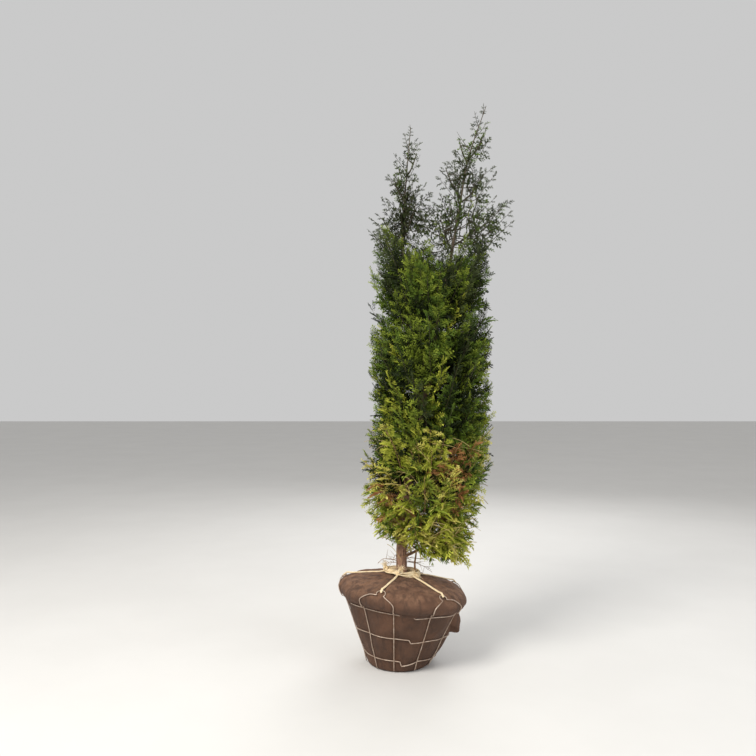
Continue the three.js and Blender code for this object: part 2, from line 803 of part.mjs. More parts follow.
// The short dead shoot beside the trunk's foot.
function buildShoot(extra) {
  const { foot, top, x, y, leanX, leanY, radius, tipRadius, sides, steps } = basalShoot;
  const pointAt = (share) =>
    new THREE.Vector3(x + leanX * share, y + leanY * share, THREE.MathUtils.lerp(foot, top, share));
  const radiusAt = (share) => THREE.MathUtils.lerp(radius, tipRadius, share) + extra;
  return toSolid(limbGeometry(pointAt, radiusAt, sides, steps, true));
}

addPiece(leaders.trunk.build(0), "trunk", material.bark);
const trunkCut = leaders.trunk.build(CUT_CLEARANCE);
const second = leaders.second_leader.build(0).subtract(trunkCut);
addPiece(largestBody(second), "second_leader", material.bark);

const bothLeaders = wasm.Manifold.union([
  leaders.trunk.build(CLEARANCE),
  leaders.second_leader.build(CLEARANCE),
]);
const onBoughs = masses.filter((mass) => mass.boughShare);
for (const mass of onBoughs) {
  const bough = buildBough(mass, 0).subtract(bothLeaders);
  addPiece(largestBody(bough), `bough_${mass.name}`, material.bark);
}
addPiece(buildShoot(0), "basal_shoot", material.bark);

// The limbs, fattened, are cut from each mass, so that every bough's tip ends just clear of it.
const limbs = wasm.Manifold.union([
  bothLeaders,
  buildShoot(basalShoot.room),
  ...onBoughs.map((mass) => buildBough(mass, CLEARANCE)),
]);
for (const mass of masses) {
  addPiece(growMass(mass, limbs), `foliage_${mass.name}`, material.foliage);
}

// The trunk and the shoot stand in sockets in the top of the ball.
const socket = wasm.Manifold.union([trunkCut, buildShoot(CUT_CLEARANCE)]);
addPiece(makeBall(socket.translate([0, 0, -CLEARANCE])), "root_ball", material.burlap);
addPiece(makeBasket(), "wire_basket", material.wire);
addPiece(makeTwine(), "twine", material.twine);

export default thuja;
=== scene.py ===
import math

import bpy
import numpy as np
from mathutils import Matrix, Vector, noise


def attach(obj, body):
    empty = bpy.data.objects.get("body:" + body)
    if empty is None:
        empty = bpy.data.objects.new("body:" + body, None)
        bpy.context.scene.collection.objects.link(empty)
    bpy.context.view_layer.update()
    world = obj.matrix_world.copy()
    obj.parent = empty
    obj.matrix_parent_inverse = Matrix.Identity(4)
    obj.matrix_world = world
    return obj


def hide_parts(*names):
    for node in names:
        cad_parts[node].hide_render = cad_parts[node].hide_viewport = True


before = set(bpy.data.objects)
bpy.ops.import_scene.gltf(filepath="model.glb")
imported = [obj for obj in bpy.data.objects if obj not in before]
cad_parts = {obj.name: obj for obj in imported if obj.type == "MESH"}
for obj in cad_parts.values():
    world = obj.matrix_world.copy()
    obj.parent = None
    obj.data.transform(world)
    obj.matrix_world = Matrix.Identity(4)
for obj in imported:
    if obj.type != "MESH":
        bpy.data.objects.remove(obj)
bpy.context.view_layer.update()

# Metres, z up, the front towards -y, the origin in the middle of the ball's flat underside.
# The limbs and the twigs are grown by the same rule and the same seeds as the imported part.

# camera: taken as level, so that the horizon falls in the middle of the square picture
view = {"place": (-0.100, -3.615, 1.35), "lens": 36.05, "sensor": 36.0}
cameraData = bpy.data.cameras.new("view")
cameraData.lens = view["lens"]
cameraData.sensor_width = view["sensor"]
camera = bpy.data.objects.new("view", cameraData)
camera.location = view["place"]
camera.rotation_euler = (math.radians(90), 0, 0)
bpy.context.collection.objects.link(camera)
bpy.context.scene.camera = camera

fullTurn = math.tau


# Small helpers

def unit(vectors):
    length = np.linalg.norm(vectors, axis=-1, keepdims=True)
    return vectors / np.maximum(length, 1e-9)


def mix(a, b, share):
    return a + (b - a) * share


def smoothStep(value, low, high):
    share = np.clip((value - low) / (high - low), 0, 1)
    return share * share * (3 - 2 * share)


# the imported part's own random numbers, so that its twigs are met again
numberSteps = {"factor": 1664525, "added": 1013904223, "range": 2**32, "warmUp": 4}


def seededDraw(seed):
    state = seed % numberSteps["range"]

    def draw():
        nonlocal state
        state = (state * numberSteps["factor"] + numberSteps["added"]) % numberSteps["range"]
        return state / numberSteps["range"]

    for _ in range(numberSteps["warmUp"]):
        draw()
    return draw


def heading(azimuth, rise):
    turn, climb = np.broadcast_arrays(np.radians(azimuth), np.radians(rise))
    flat = np.cos(climb)
    return np.stack([flat * np.cos(turn), flat * np.sin(turn), np.sin(climb)], axis=-1)


# a smooth curve through evenly spaced knots, read at shares of its length
def splinePoint(knots, share):
    ends = np.vstack([2 * knots[0] - knots[1], knots, 2 * knots[-1] - knots[-2]])
    place = np.clip(share, 0, 1) * (len(knots) - 1)
    i = np.minimum(place.astype(int), len(knots) - 2)
    w = (place - i)[..., None]
    before, start, end, after = ends[i], ends[i + 1], ends[i + 2], ends[i + 3]
    out, into = (end - before) / 2, (after - start) / 2
    return (
        (2 * w**3 - 3 * w**2 + 1) * start
        + (w**3 - 2 * w**2 + w) * out
        + (3 * w**2 - 2 * w**3) * end
        + (w**3 - w**2) * into
    )


def smoothPath(points, steps):
    return splinePoint(np.asarray(points, float), np.linspace(0, 1, steps))


# one value for each point, in the shape of the grid of points
def noiseAt(points, scale, seed=0.0):
    values = [noise.noise(Vector(p)) for p in (points * scale + seed).reshape(-1, 3)]
    return np.array(values).reshape(points.shape[:-1])


def makePiece(name, points, faces, material, slot, replaced=(), smooth=True, uv=None):
    mesh = bpy.data.meshes.new(name)
    mesh.vertices.add(len(points))
    mesh.vertices.foreach_set("co", np.asarray(points, np.float32).ravel())
    mesh.loops.add(faces.size)
    mesh.loops.foreach_set("vertex_index", np.asarray(faces, np.int32).ravel())
    mesh.polygons.add(len(faces))
    mesh.polygons.foreach_set("loop_start", np.arange(0, faces.size, faces.shape[1], dtype=np.int32))
    mesh.polygons.foreach_set("use_smooth", np.full(len(faces), smooth))
    if uv is not None:
        layer = mesh.uv_layers.new(name="flat")
        layer.data.foreach_set("uv", np.asarray(uv[faces.ravel()], np.float32).ravel())
    mesh.update(calc_edges=True)
    mesh.validate()
    mesh.materials.append(material)
    piece = bpy.data.objects.new(name, mesh)
    bpy.context.collection.objects.link(piece)
    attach(piece, "root")
    if replaced:
        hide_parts(*replaced)
    return piece


# round limbs along many paths at once: paths (n, steps, 3), radii (n, steps); the ends are closed
def tubes(paths, radii, sides, relief=None):
    count, steps = paths.shape[:2]
    along = unit(np.gradient(paths, axis=1))
    isSteep = np.abs(along[:, :1, 2:]) > 0.9
    reference = np.where(isSteep, np.array([1.0, 0, 0]), np.array([0, 0, 1.0]))
    side = np.empty_like(paths)
    side[:, 0] = unit(np.cross(along[:, 0], reference[:, 0]))
    for k in range(1, steps):
        last = side[:, k - 1]
        side[:, k] = unit(last - along[:, k] * np.sum(last * along[:, k], axis=-1, keepdims=True))
    other = np.cross(along, side)
    turn = np.arange(sides) * fullTurn / sides
    radius = radii[:, :, None, None] * np.ones((1, 1, sides, 1))
    if relief is not None:
        radius = radius + relief[..., None]
    ring = np.cos(turn)[:, None] * side[:, :, None] + np.sin(turn)[:, None] * other[:, :, None]
    points = (paths[:, :, None] + ring * radius).reshape(count, -1, 3)
    points = np.concatenate([points, paths[:, :1], paths[:, -1:]], axis=1)
    k, i = np.meshgrid(np.arange(steps - 1), np.arange(sides), indexing="ij")
    near, far = k * sides + i, k * sides + (i + 1) % sides
    walls = np.stack([near, far, far + sides, near + sides], axis=-1).reshape(-1, 4)
    walls = np.concatenate([walls[:, [0, 1, 2]], walls[:, [0, 2, 3]]])
    rim, nextRim = np.arange(sides), (np.arange(sides) + 1) % sides
    foot = np.stack([nextRim, rim, np.full(sides, steps * sides)], axis=-1)
    last = (steps - 1) * sides
    tip = np.stack([rim + last, nextRim + last, np.full(sides, steps * sides + 1)], axis=-1)
    faces = np.concatenate([walls, foot, tip])
    faces = faces[None] + (np.arange(count) * points.shape[1])[:, None, None]
    return points.reshape(-1, 3), faces.reshape(-1, 3)


def wireTube(path, radius, sides):
    return tubes(path[None], np.full((1, len(path)), radius), sides)


def joined(parts):
    firsts = np.cumsum([0] + [len(part[0]) for part in parts])
    faces = [part[1] + first for part, first in zip(parts, firsts)]
    return np.concatenate([part[0] for part in parts]), np.concatenate(faces)


# Materials

# a node of a tree: a socket given as an input is linked, and any other value is set
def addNode(tree, kind, inputs=None, **settings):
    made = tree.nodes.new("ShaderNode" + kind)
    for key, value in settings.items():
        setattr(made, key, value)
    for key, value in (inputs or {}).items():
        if isinstance(value, bpy.types.NodeSocket):
            tree.links.new(value, made.inputs[key])
        else:
            made.inputs[key].default_value = value
    return made.outputs


def blend(tree, share, color, otherColor):
    return addNode(tree, "Mix", {0: share, 6: color, 7: otherColor}, data_type="RGBA")[2]


def remap(tree, value, fromMin, fromMax, toMin=0.0, toMax=1.0):
    return addNode(tree, "MapRange", {"Value": value, "From Min": fromMin, "From Max": fromMax,
                                      "To Min": toMin, "To Max": toMax})[0]


def calculate(tree, operation, *values):
    return addNode(tree, "Math", dict(enumerate(values)), operation=operation)[0]


# the inputs of a node group: a kind of socket for each name, or the number that it holds when left alone
def openGroup(name, inputs):
    group = bpy.data.node_groups.new(name, "ShaderNodeTree")
    for label, value in inputs.items():
        kind = value if isinstance(value, str) else "Float"
        socket = group.interface.new_socket(label, in_out="INPUT", socket_type="NodeSocket" + kind)
        if kind == "Float":
            socket.default_value = value
    return group, group.nodes.new("NodeGroupInput").outputs


def closeGroup(group, outputs):
    for label in outputs:
        kind = "Color" if label == "Color" else "Float"
        group.interface.new_socket(label, in_out="OUTPUT", socket_type="NodeSocket" + kind)
    leave = group.nodes.new("NodeGroupOutput").inputs
    for label, value in outputs.items():
        group.links.new(value, leave[label])
    return group


# mottle: drifts between two colours in soft patches
def buildMottle():
    group, entry = openGroup("mottle", {"Vector": "Vector", "Color": "Color", "Other Color": "Color",
                                        "Scale": 20.0, "Amount": 1.0})
    patches = addNode(group, "TexNoise", {"Vector": entry["Vector"], "Scale": entry["Scale"],
                                          "Detail": 4.0, "Roughness": 0.6})[0]
    share = calculate(group, "MULTIPLY", remap(group, patches, 0.36, 0.64), entry["Amount"])
    color = blend(group, share, entry["Color"], entry["Other Color"])
    return closeGroup(group, {"Color": color, "Mask": share})


# fibres: streaks drawn out along one direction, for bark, twigs, twine and stains
def buildFibres():
    group, entry = openGroup("fibres", {"Vector": "Vector", "Across": 400.0, "Along": 20.0})
    scale = addNode(group, "CombineXYZ", {0: entry["Across"], 1: entry["Across"], 2: entry["Along"]})[0]
    stretch = addNode(group, "VectorMath", {0: entry["Vector"], 1: scale}, operation="MULTIPLY")[0]
    strands = addNode(group, "TexNoise", {"Vector": stretch, "Scale": 1.0, "Detail": 5.0,
                                          "Roughness": 0.65, "Distortion": 0.4})[0]
    return closeGroup(group, {"Height": strands, "Cracks": remap(group, strands, 0.5, 0.38)})


# weave: the over and under of coarse threads, from a cloth map in metres
def buildWeave():
    group, entry = openGroup("weave", {"Vector": "Vector", "Pitch": 0.002})
    parts = addNode(group, "SeparateXYZ", {0: entry["Vector"]})
    waves = []
    for axis in (0, 1):
        wobble = addNode(group, "TexNoise", {"Vector": entry["Vector"], "Scale": 60.0 + 25 * axis,
                                             "Detail": 2.0})[0]
        shift = calculate(group, "MULTIPLY_ADD", wobble, 0.004, parts[axis])
        threads = calculate(group, "DIVIDE", shift, entry["Pitch"])
        wave = calculate(group, "SINE", calculate(group, "MULTIPLY", threads, math.pi))
        waves.append(calculate(group, "ABSOLUTE", wave))
    high = calculate(group, "MULTIPLY", *waves)
    return closeGroup(group, {"Height": high, "Gaps": remap(group, high, 0.25, 0.0)})


# dust: gathers on what faces the sky, broken up by grain
def buildDust():
    group, entry = openGroup("dust", {"Vector": "Vector", "Color": "Color", "Dust Color": "Color",
                                      "Amount": 0.5})
    facing = addNode(group, "NewGeometry")["Normal"]
    up = remap(group, addNode(group, "SeparateXYZ", {0: facing})[2], -0.1, 0.9)
    grain = addNode(group, "TexNoise", {"Vector": entry["Vector"], "Scale": 26.0, "Detail": 5.0,
                                        "Roughness": 0.6})[0]
    both = calculate(group, "MULTIPLY", up, remap(group, grain, 0.35, 0.6))
    share = calculate(group, "MULTIPLY", both, entry["Amount"])
    color = blend(group, share, entry["Color"], entry["Dust Color"])
    return closeGroup(group, {"Color": color, "Mask": share})


mottle, fibres, weave, dust = buildMottle(), buildFibres(), buildWeave(), buildDust()


# a colour of 0 to 255 as the shader takes it
def linear(color):
    shares = [value / 255 for value in color]
    return (*[s / 12.92 if s <= 0.04045 else ((s + 0.055) / 1.055) ** 2.4 for s in shares], 1)


def newMaterial(name, roughness):
    material = bpy.data.materials.new(name)
    material.use_nodes = True
    tree = material.node_tree
    shader = tree.nodes["Principled BSDF"].inputs
    shader["Roughness"].default_value = roughness
    return material, tree, shader, addNode(tree, "TexCoord")


def placeMottle(tree, place, color, otherColor, scale, amount):
    return addNode(tree, "Group", {"Vector": place["Object"], "Color": color, "Other Color": otherColor,
                                   "Scale": scale, "Amount": amount}, node_tree=mottle)


def placeFibres(tree, place, across, along):
    return addNode(tree, "Group", {"Vector": place["Object"], "Across": across, "Along": along},
                   node_tree=fibres)


def finishMaterial(tree, shader, color, height, strength, distance):
    tree.links.new(color, shader["Base Color"])
    bump = addNode(tree, "Bump", {"Height": height, "Strength": strength, "Distance": distance})
    tree.links.new(bump[0], shader["Normal"])


# the greens: plain colours that are dealt out to whole sprays, and how much of each is dealt where; the
# darkest greens, dealt inside the crown and high up, are painted shade, and the brightest yellow greens,
# dealt low down, are painted light
greens = {
    # painted shade: the darkest green, dealt to the inner sprays and the upper crown
    "innerShadeGreen": {"body": (26, 36, 10), "patches": (16, 24, 6), "tips": (34, 46, 14),
                   "dealt": {"inside": 0.30, "upper": 0.36, "always": 0.10}},
    # painted shade: a dark grey green, dealt to the upper crown and the spires
    "spireShadeGreen": {"body": (46, 54, 25), "patches": (33, 41, 18), "tips": (68, 78, 42),
                   "dealt": {"upper": 0.34, "high": 2.6}},
    "midGreen": {"body": (60, 80, 20), "patches": (42, 58, 14), "tips": (96, 118, 36),
                 "dealt": {"always": 1.0, "low": -0.6, "high": -0.3}},
    "oliveGreen": {"body": (92, 108, 28), "patches": (68, 84, 22), "tips": (138, 152, 52),
                   "dealt": {"always": 0.75, "high": -0.8}},
    # painted light: a bright yellow green, dealt low down
    "lowLitGreen": {"body": (144, 152, 42), "patches": (110, 118, 32), "tips": (190, 192, 76),
                    "dealt": {"always": 0.04, "low": 1.15, "high": -0.3}},
    # painted light: the palest yellow green, dealt to the lowest sprays
    "lowestLitGreen": {"body": (188, 180, 74), "patches": (152, 144, 54), "tips": (222, 214, 118),
                 "dealt": {"lowest": 0.95, "high": -0.10}},
    "bronze": {"body": (148, 100, 58), "patches": (112, 74, 44), "tips": (172, 124, 78),
               "dealt": {"always": 0.006, "low": 0.13, "high": -0.06}},
}
leafLook = {"roughness": 0.62, "shine": 0.18, "patchScale": 70.0, "patchAmount": 0.8,
            "tipsFrom": 0.35, "scaleLeaves": 700.0, "relief": 0.35, "depth": 0.0004}


# leaves: one plain green, with small patches of a second tone and paler young tips
def leafMaterial(name, look):
    material, tree, shader, place = newMaterial(name, leafLook["roughness"])
    tone = placeMottle(tree, place, linear(look["body"]), linear(look["patches"]),
                       leafLook["patchScale"], leafLook["patchAmount"])
    along = addNode(tree, "SeparateXYZ", {0: place["UV"]})["Y"]
    tipped = blend(tree, remap(tree, along, leafLook["tipsFrom"], 1.0), tone["Color"], linear(look["tips"]))
    scales = addNode(tree, "TexVoronoi", {"Vector": place["Object"], "Scale": leafLook["scaleLeaves"]})
    shader["Specular IOR Level"].default_value = leafLook["shine"]
    finishMaterial(tree, shader, tipped, scales["Distance"], leafLook["relief"], leafLook["depth"])
    return material


# barks: they turn to the young colour between two heights of the plant
barkLook = {"roughness": 0.88, "patchScale": 45.0, "patchAmount": 0.9, "youngFrom": 0.8, "youngAt": 2.1,
            "relief": 0.7}
barks = {
    "bark": {"body": (170, 132, 108), "patches": (134, 104, 85), "cracks": (84, 61, 49),
             "young": (74, 66, 52), "across": 260.0, "along": 14.0, "depth": 0.0025},
    "twigBark": {"body": (78, 68, 40), "patches": (58, 50, 28), "cracks": (36, 30, 18),
                 "young": (58, 52, 36), "across": 900.0, "along": 120.0, "depth": 0.0006},
    "deadTwigs": {"body": (172, 134, 92), "patches": (138, 102, 70), "cracks": (92, 66, 46),
                  "young": (140, 108, 76), "across": 900.0, "along": 120.0, "depth": 0.0005},
    "strawTwigs": {"body": (206, 188, 120), "patches": (176, 152, 90), "cracks": (120, 98, 60),
                   "young": (160, 140, 90), "across": 900.0, "along": 120.0, "depth": 0.0005},
}


def barkMaterial(name, look):
    material, tree, shader, place = newMaterial(name, barkLook["roughness"])
    tone = placeMottle(tree, place, linear(look["body"]), linear(look["patches"]),
                       barkLook["patchScale"], barkLook["patchAmount"])
    streaks = placeFibres(tree, place, look["across"], look["along"])
    cracked = blend(tree, streaks["Cracks"], tone["Color"], linear(look["cracks"]))
    height = addNode(tree, "SeparateXYZ", {0: place["Object"]})["Z"]
    young = remap(tree, height, barkLook["youngFrom"], barkLook["youngAt"])
    color = blend(tree, young, cracked, linear(look["young"]))
    finishMaterial(tree, shader, color, streaks["Height"], barkLook["relief"], look["depth"])
    return material


burlapLook = {"roughness": (0.82, 1.0), "body": (101, 69, 49), "patches": (82, 56, 40), "patchScale": 9.0,
              "dust": (146, 109, 84), "dustAmount": 0.75,
              "stains": (62, 43, 32), "stainAmount": 0.55, "stainAcross": 26.0, "stainAlong": 2.6,
              "holes": (48, 34, 26), "holeAmount": 0.55, "threadPitch": 0.0021,
              "relief": 0.8, "depth": 0.0009}


def burlapMaterial():
    look = burlapLook
    material, tree, shader, place = newMaterial("burlap", look["roughness"][1])
    tone = placeMottle(tree, place, linear(look["body"]), linear(look["patches"]), look["patchScale"], 1.0)
    dusted = addNode(tree, "Group", {"Vector": place["Object"], "Color": tone["Color"],
                                     "Dust Color": linear(look["dust"]), "Amount": look["dustAmount"]},
                     node_tree=dust)
    drags = placeFibres(tree, place, look["stainAcross"], look["stainAlong"])
    dragged = calculate(tree, "MULTIPLY", drags["Cracks"], look["stainAmount"])
    stained = blend(tree, dragged, dusted["Color"], linear(look["stains"]))
    threads = addNode(tree, "Group", {"Vector": place["UV"], "Pitch": look["threadPitch"]}, node_tree=weave)
    holes = calculate(tree, "MULTIPLY", threads["Gaps"], look["holeAmount"])
    color = blend(tree, holes, stained, linear(look["holes"]))
    tree.links.new(remap(tree, dusted["Mask"], 0.0, 1.0, *look["roughness"]), shader["Roughness"])
    finishMaterial(tree, shader, color, threads["Height"], look["relief"], look["depth"])
    return material


# the wire is duller and less metallic in its stained patches
wireLook = {"clean": (205, 186, 168), "stained": (138, 112, 94), "patchScale": 38.0, "patchAmount": 0.85,
            "roughness": (0.38, 0.75), "metallic": (0.75, 0.2), "grain": 900.0, "relief": 0.25,
            "depth": 0.0003}


def wireMaterial():
    look = wireLook
    material, tree, shader, place = newMaterial("basketWire", look["roughness"][0])
    tone = placeMottle(tree, place, linear(look["clean"]), linear(look["stained"]),
                       look["patchScale"], look["patchAmount"])
    tree.links.new(remap(tree, tone["Mask"], 0.0, 1.0, *look["roughness"]), shader["Roughness"])
    tree.links.new(remap(tree, tone["Mask"], 0.0, 1.0, *look["metallic"]), shader["Metallic"])
    grain = addNode(tree, "TexNoise", {"Vector": place["Object"], "Scale": look["grain"]})[0]
    finishMaterial(tree, shader, tone["Color"], grain, look["relief"], look["depth"])
    return material


twineLook = {"roughness": 0.85, "body": (248, 234, 202), "patches": (224, 198, 152), "patchScale": 60.0,
             "patchAmount": 0.8, "cracks": (214, 186, 142), "across": 900.0, "along": 500.0,
             "relief": 0.6, "depth": 0.0006}


def twineMaterial():
    look = twineLook
    material, tree, shader, place = newMaterial("twine", look["roughness"])
    tone = placeMottle(tree, place, linear(look["body"]), linear(look["patches"]),
                       look["patchScale"], look["patchAmount"])
    streaks = placeFibres(tree, place, look["across"], look["along"])
    color = blend(tree, streaks["Cracks"], tone["Color"], linear(look["cracks"]))
    finishMaterial(tree, shader, color, streaks["Height"], look["relief"], look["depth"])
    return material


leafMaterials = {name: leafMaterial(name, look) for name, look in greens.items()}
finishes = {name: barkMaterial(name, look) for name, look in barks.items()}
print("materials made")


# Trunk, leaders and boughs

trunk = {
    "foot": 0.402,
    "tip": 2.649,
    "x": [0.012, 0.017, 0.054, 0.104, 0.146, 0.193, 0.243, 0.287, 0.332, 0.416],
    "y": [0, 0.003, 0.006, 0.004, 0, -0.004, -0.004, 0, 0.002, 0],
    "radii": [0.026, 0.023, 0.0195, 0.0165, 0.013, 0.010, 0.007, 0.005, 0.0032, 0.0014],
    "flare": 0.009,
    "flareHeight": 0.070,
}
secondLeader = {
    "foot": 1.150,
    "tip": 2.563,
    "x": [0.110, 0.072, 0.042, 0.027, 0.022, 0.038, 0.058],
    "y": [0.003, 0.030, 0.050, 0.060, 0.060, 0.055, 0.050],
    "radii": [0.0105, 0.0095, 0.008, 0.0064, 0.0048, 0.003, 0.0013],
    "flare": 0,
    "flareHeight": 0.001,
}


def leaderShare(leader, height):
    return (height - leader["foot"]) / (leader["tip"] - leader["foot"])


def leaderPoint(leader, height):
    height = np.asarray(height, float)
    heights = np.linspace(leader["foot"], leader["tip"], len(leader["x"]))
    knots = np.stack([leader["x"], leader["y"], heights], axis=-1)
    return splinePoint(knots, leaderShare(leader, height))


def leaderRadius(leader, height):
    flare = np.clip(1 - (height - leader["foot"]) / leader["flareHeight"], 0, 1)
    places = np.linspace(0, 1, len(leader["radii"]))
    return np.interp(leaderShare(leader, height), places, leader["radii"]) + leader["flare"] * flare**3


# the crown's outline: height, middle of the column, half its width
column = np.array([
    (0.440, 0.190, 0.140), (0.520, 0.150, 0.195), (0.600, 0.125, 0.240), (0.730, 0.113, 0.292),
    (0.960, 0.130, 0.310), (1.150, 0.150, 0.300), (1.430, 0.150, 0.290), (1.700, 0.146, 0.288),
    (1.860, 0.150, 0.270), (1.980, 0.160, 0.180), (2.000, 0.160, 0.0),
])
# the spires' outlines: height, half the width
mainSpire = np.array([
    (1.800, 0.285), (2.100, 0.285), (2.170, 0.268), (2.260, 0.210), (2.360, 0.136), (2.460, 0.108),
    (2.560, 0.064), (2.655, 0.016),
])
leftSpire = np.array([
    (1.800, 0.235), (2.075, 0.200), (2.170, 0.152), (2.354, 0.096), (2.470, 0.070), (2.568, 0.016),
])
spireTip = 0.006  # from a spire's top down to its leader's tip
pastSpireTip = 0.004
crestTop = 1.880

# a mass's twigs: share of its arc, share of its step up, share of the way out
fullPattern = [
    (-1, -1, 0.94), (0, -1.05, 0.96), (1, -0.95, 0.94), (-0.3, -0.5, 0.66),
    (-0.85, 0, 0.94), (1.05, 0.05, 0.94), (0.1, -0.1, 0.97),
]
openPattern = [(-0.6, -1, 0.94), (0.5, -0.75, 0.97), (-0.4, -0.1, 0.97), (0.7, 0.2, 0.94), (0, 0.5, 0.7)]

tiers = [
    {"name": "skirt", "height": 0.492, "middle": 0.625, "count": 5, "turn": 18, "rise": 40, "step": 0.115},
    {"name": "lower", "height": 0.690, "middle": 0.885, "count": 5, "turn": 54, "rise": 57, "step": 0.138},
    {"name": "middle", "height": 0.980, "middle": 1.175, "count": 5, "turn": 18, "rise": 60, "step": 0.142},
    {"name": "upper", "height": 1.275, "middle": 1.475, "count": 4, "turn": 62, "rise": 62, "step": 0.142},
]
tierMass = {
    "away": 0.52,  # share of the way out to the outline
    "stagger": 0.024,
    "boughShare": 0.42,
    "boughClimb": 0.3,
    "boughRadius": 0.0085,
    "boughTipRadius": 0.0054,
    "bareStem": 0.005,
    "stemTaper": 0.62,
    "arc": 0.29,
    "spray": 0.178,
    "secondLeaderSide": -0.25,
    "firstSeed": 101,
    "seedsPerTier": 10,
}
leaderMassSeed = 301
leaderStemClimb = 0.5
stemTop = 0.045
crest = {"middle": 0.175, "rise": 64, "step": 0.130, "spray": 0.172, "arc": 21, "pattern": fullPattern}
spire = {"middle": 0.095, "rise": 50, "step": 0.085, "spray": 0.136, "arc": 62, "pattern": openPattern}
tuft = {"middle": 0.060, "rise": 58, "step": 0.056, "spray": 0.112, "arc": 90, "pattern": openPattern}
leaderMasses = [  # name, leader, height on it, azimuth, kind
    ("crest_right_front", trunk, 1.640, -30, crest),
    ("crest_right_back", trunk, 1.650, 42, crest),
    ("crest_front", trunk, 1.630, -102, crest),
    ("crest_left", secondLeader, 1.645, -174, crest),
    ("crest_back", secondLeader, 1.635, 114, crest),
    ("spire_right", trunk, 1.985, -20, spire),
    ("spire_front", trunk, 1.960, -125, spire),
    ("spire_back", trunk, 2.000, 100, spire),
    ("spire_right_mid", trunk, 2.190, 5, spire),
    ("spire_left_mid", trunk, 2.215, 180, spire),
    ("spire_right_high", trunk, 2.400, -20, tuft),
    ("spire_left_high", trunk, 2.385, 165, tuft),
    ("second_left", secondLeader, 1.990, 175, spire),
    ("second_front", secondLeader, 2.040, -50, spire),
    ("second_high", secondLeader, 2.220, 160, tuft),
    ("second_tip", secondLeader, 2.330, -20, tuft),
]


# a point of the crown at a height and azimuth, at a share of the way out to its outline
def outlinePoint(leader, height, azimuth, share):
    height = np.asarray(height, float)
    if leader is None:
        level = np.minimum(height, crestTop)
        centre = np.interp(level, column[:, 0], column[:, 1])
        middle = np.stack([centre, np.zeros_like(height), height], axis=-1)
        half = np.interp(level, column[:, 0], column[:, 2])
    else:
        stations = mainSpire if leader is trunk else leftSpire
        level = np.minimum(height, stations[-1, 0] - spireTip)
        middle = leaderPoint(leader, level)
        middle[..., 2] = height
        half = np.interp(level, stations[:, 0], stations[:, 1])
    return middle + heading(azimuth, 0) * (half * share)[..., None]


def insideCrown(points, room=0.0):
    height = points[:, 2]
    middle = np.interp(height, column[:, 0], column[:, 1])
    half = np.interp(height, column[:, 0], column[:, 2], left=0, right=-1)
    inside = np.hypot(points[:, 0] - middle, points[:, 1]) < half + room
    for leader, stations in ((trunk, mainSpire), (secondLeader, leftSpire)):
        centre = leaderPoint(leader, np.minimum(height, stations[-1, 0] - spireTip))
        half = np.interp(height, stations[:, 0], stations[:, 1])
        away = np.hypot(points[:, 0] - centre[:, 0], points[:, 1] - centre[:, 1])
        within = (height > stations[0, 0]) & (height < stations[-1, 0] + pastSpireTip)
        inside |= within & (away < half + room)
    return inside


def planMasses():
    planned = []
    for tierNumber, tier in enumerate(tiers):
        for k in range(tier["count"]):
            azimuth = tier["turn"] + 360 / tier["count"] * k
            stagger = (k * 2) % tier["count"] * tierMass["stagger"]
            leftward = math.cos(math.radians(azimuth)) < tierMass["secondLeaderSide"]
            leader = secondLeader if tier["name"] == "upper" and leftward else trunk
            planned.append({
                **tier,
                "tier": tier["name"],
                "base": leaderPoint(leader, tier["height"] + stagger),
                "middle": outlinePoint(None, tier["middle"] + stagger, azimuth, tierMass["away"]),
                "azimuth": azimuth,
                "arc": 360 / tier["count"] * tierMass["arc"],
                "spray": tierMass["spray"],
                "pattern": fullPattern,
                "outline": None,
                "onBough": True,
                "seed": tierMass["firstSeed"] + tierNumber * tierMass["seedsPerTier"] + k,
            })
    for k, (name, leader, height, azimuth, shape) in enumerate(leaderMasses):
        outline = None if name.startswith("crest") else leader
        planned.append({
            **shape,
            "tier": "crest" if outline is None else "spire",
            "base": leaderPoint(leader, height),
            "middle": outlinePoint(outline, height + shape["middle"], azimuth, tierMass["away"]),
            "azimuth": azimuth,
            "outline": outline,
            "onBough": False,
            "seed": leaderMassSeed + k,
        })
    return planned


masses = planMasses()
massMiddles = np.array([mass["middle"] for mass in masses])


# each mass's bough runs straight, and its stem goes on from there and curves up past the mass's middle
def planStem(mass):
    out = mass["middle"] - mass["base"]
    if mass["onBough"]:
        elbow = mass["base"] + out * tierMass["boughShare"]
        elbow[2] = mass["base"][2] + out[2] * tierMass["boughClimb"]
        direction = unit(elbow - mass["base"])
    else:
        elbow = mass["base"]
        direction = unit(out * np.array([1, 1, leaderStemClimb]))
    level = math.hypot(direction[0], direction[1])
    length = math.hypot(*(mass["middle"] - elbow)[:2]) / level
    lift = (mass["middle"][2] + stemTop - elbow[2]) / length - direction[2]

    def stemAt(share):
        share = np.asarray(share, float)[..., None]
        return elbow + direction * length * share + np.array([0, 0, lift * length]) * share**2

    return elbow, stemAt


# bark in long shreds: ridges that wander as they climb
shredding = {
    "sways": [(0.5, 9, 0), (0.35, 23, 1)],  # size, radians in a metre of height, start
    "swayTurn": 0.35,
    # sine waves: how many round the stem, and their radians in a metre of its height
    "ridgesRound": 5.5, "ridgesUp": 31, "shredsRound": 13, "shredsUp": 60, "breaksRound": 3, "breaksUp": 95,
    "grainRound": 3, "grainUp": 22,  # scales of the noise
    "ridgeShare": 0.55, "shredShare": 0.3, "grainShare": 0.9,
}


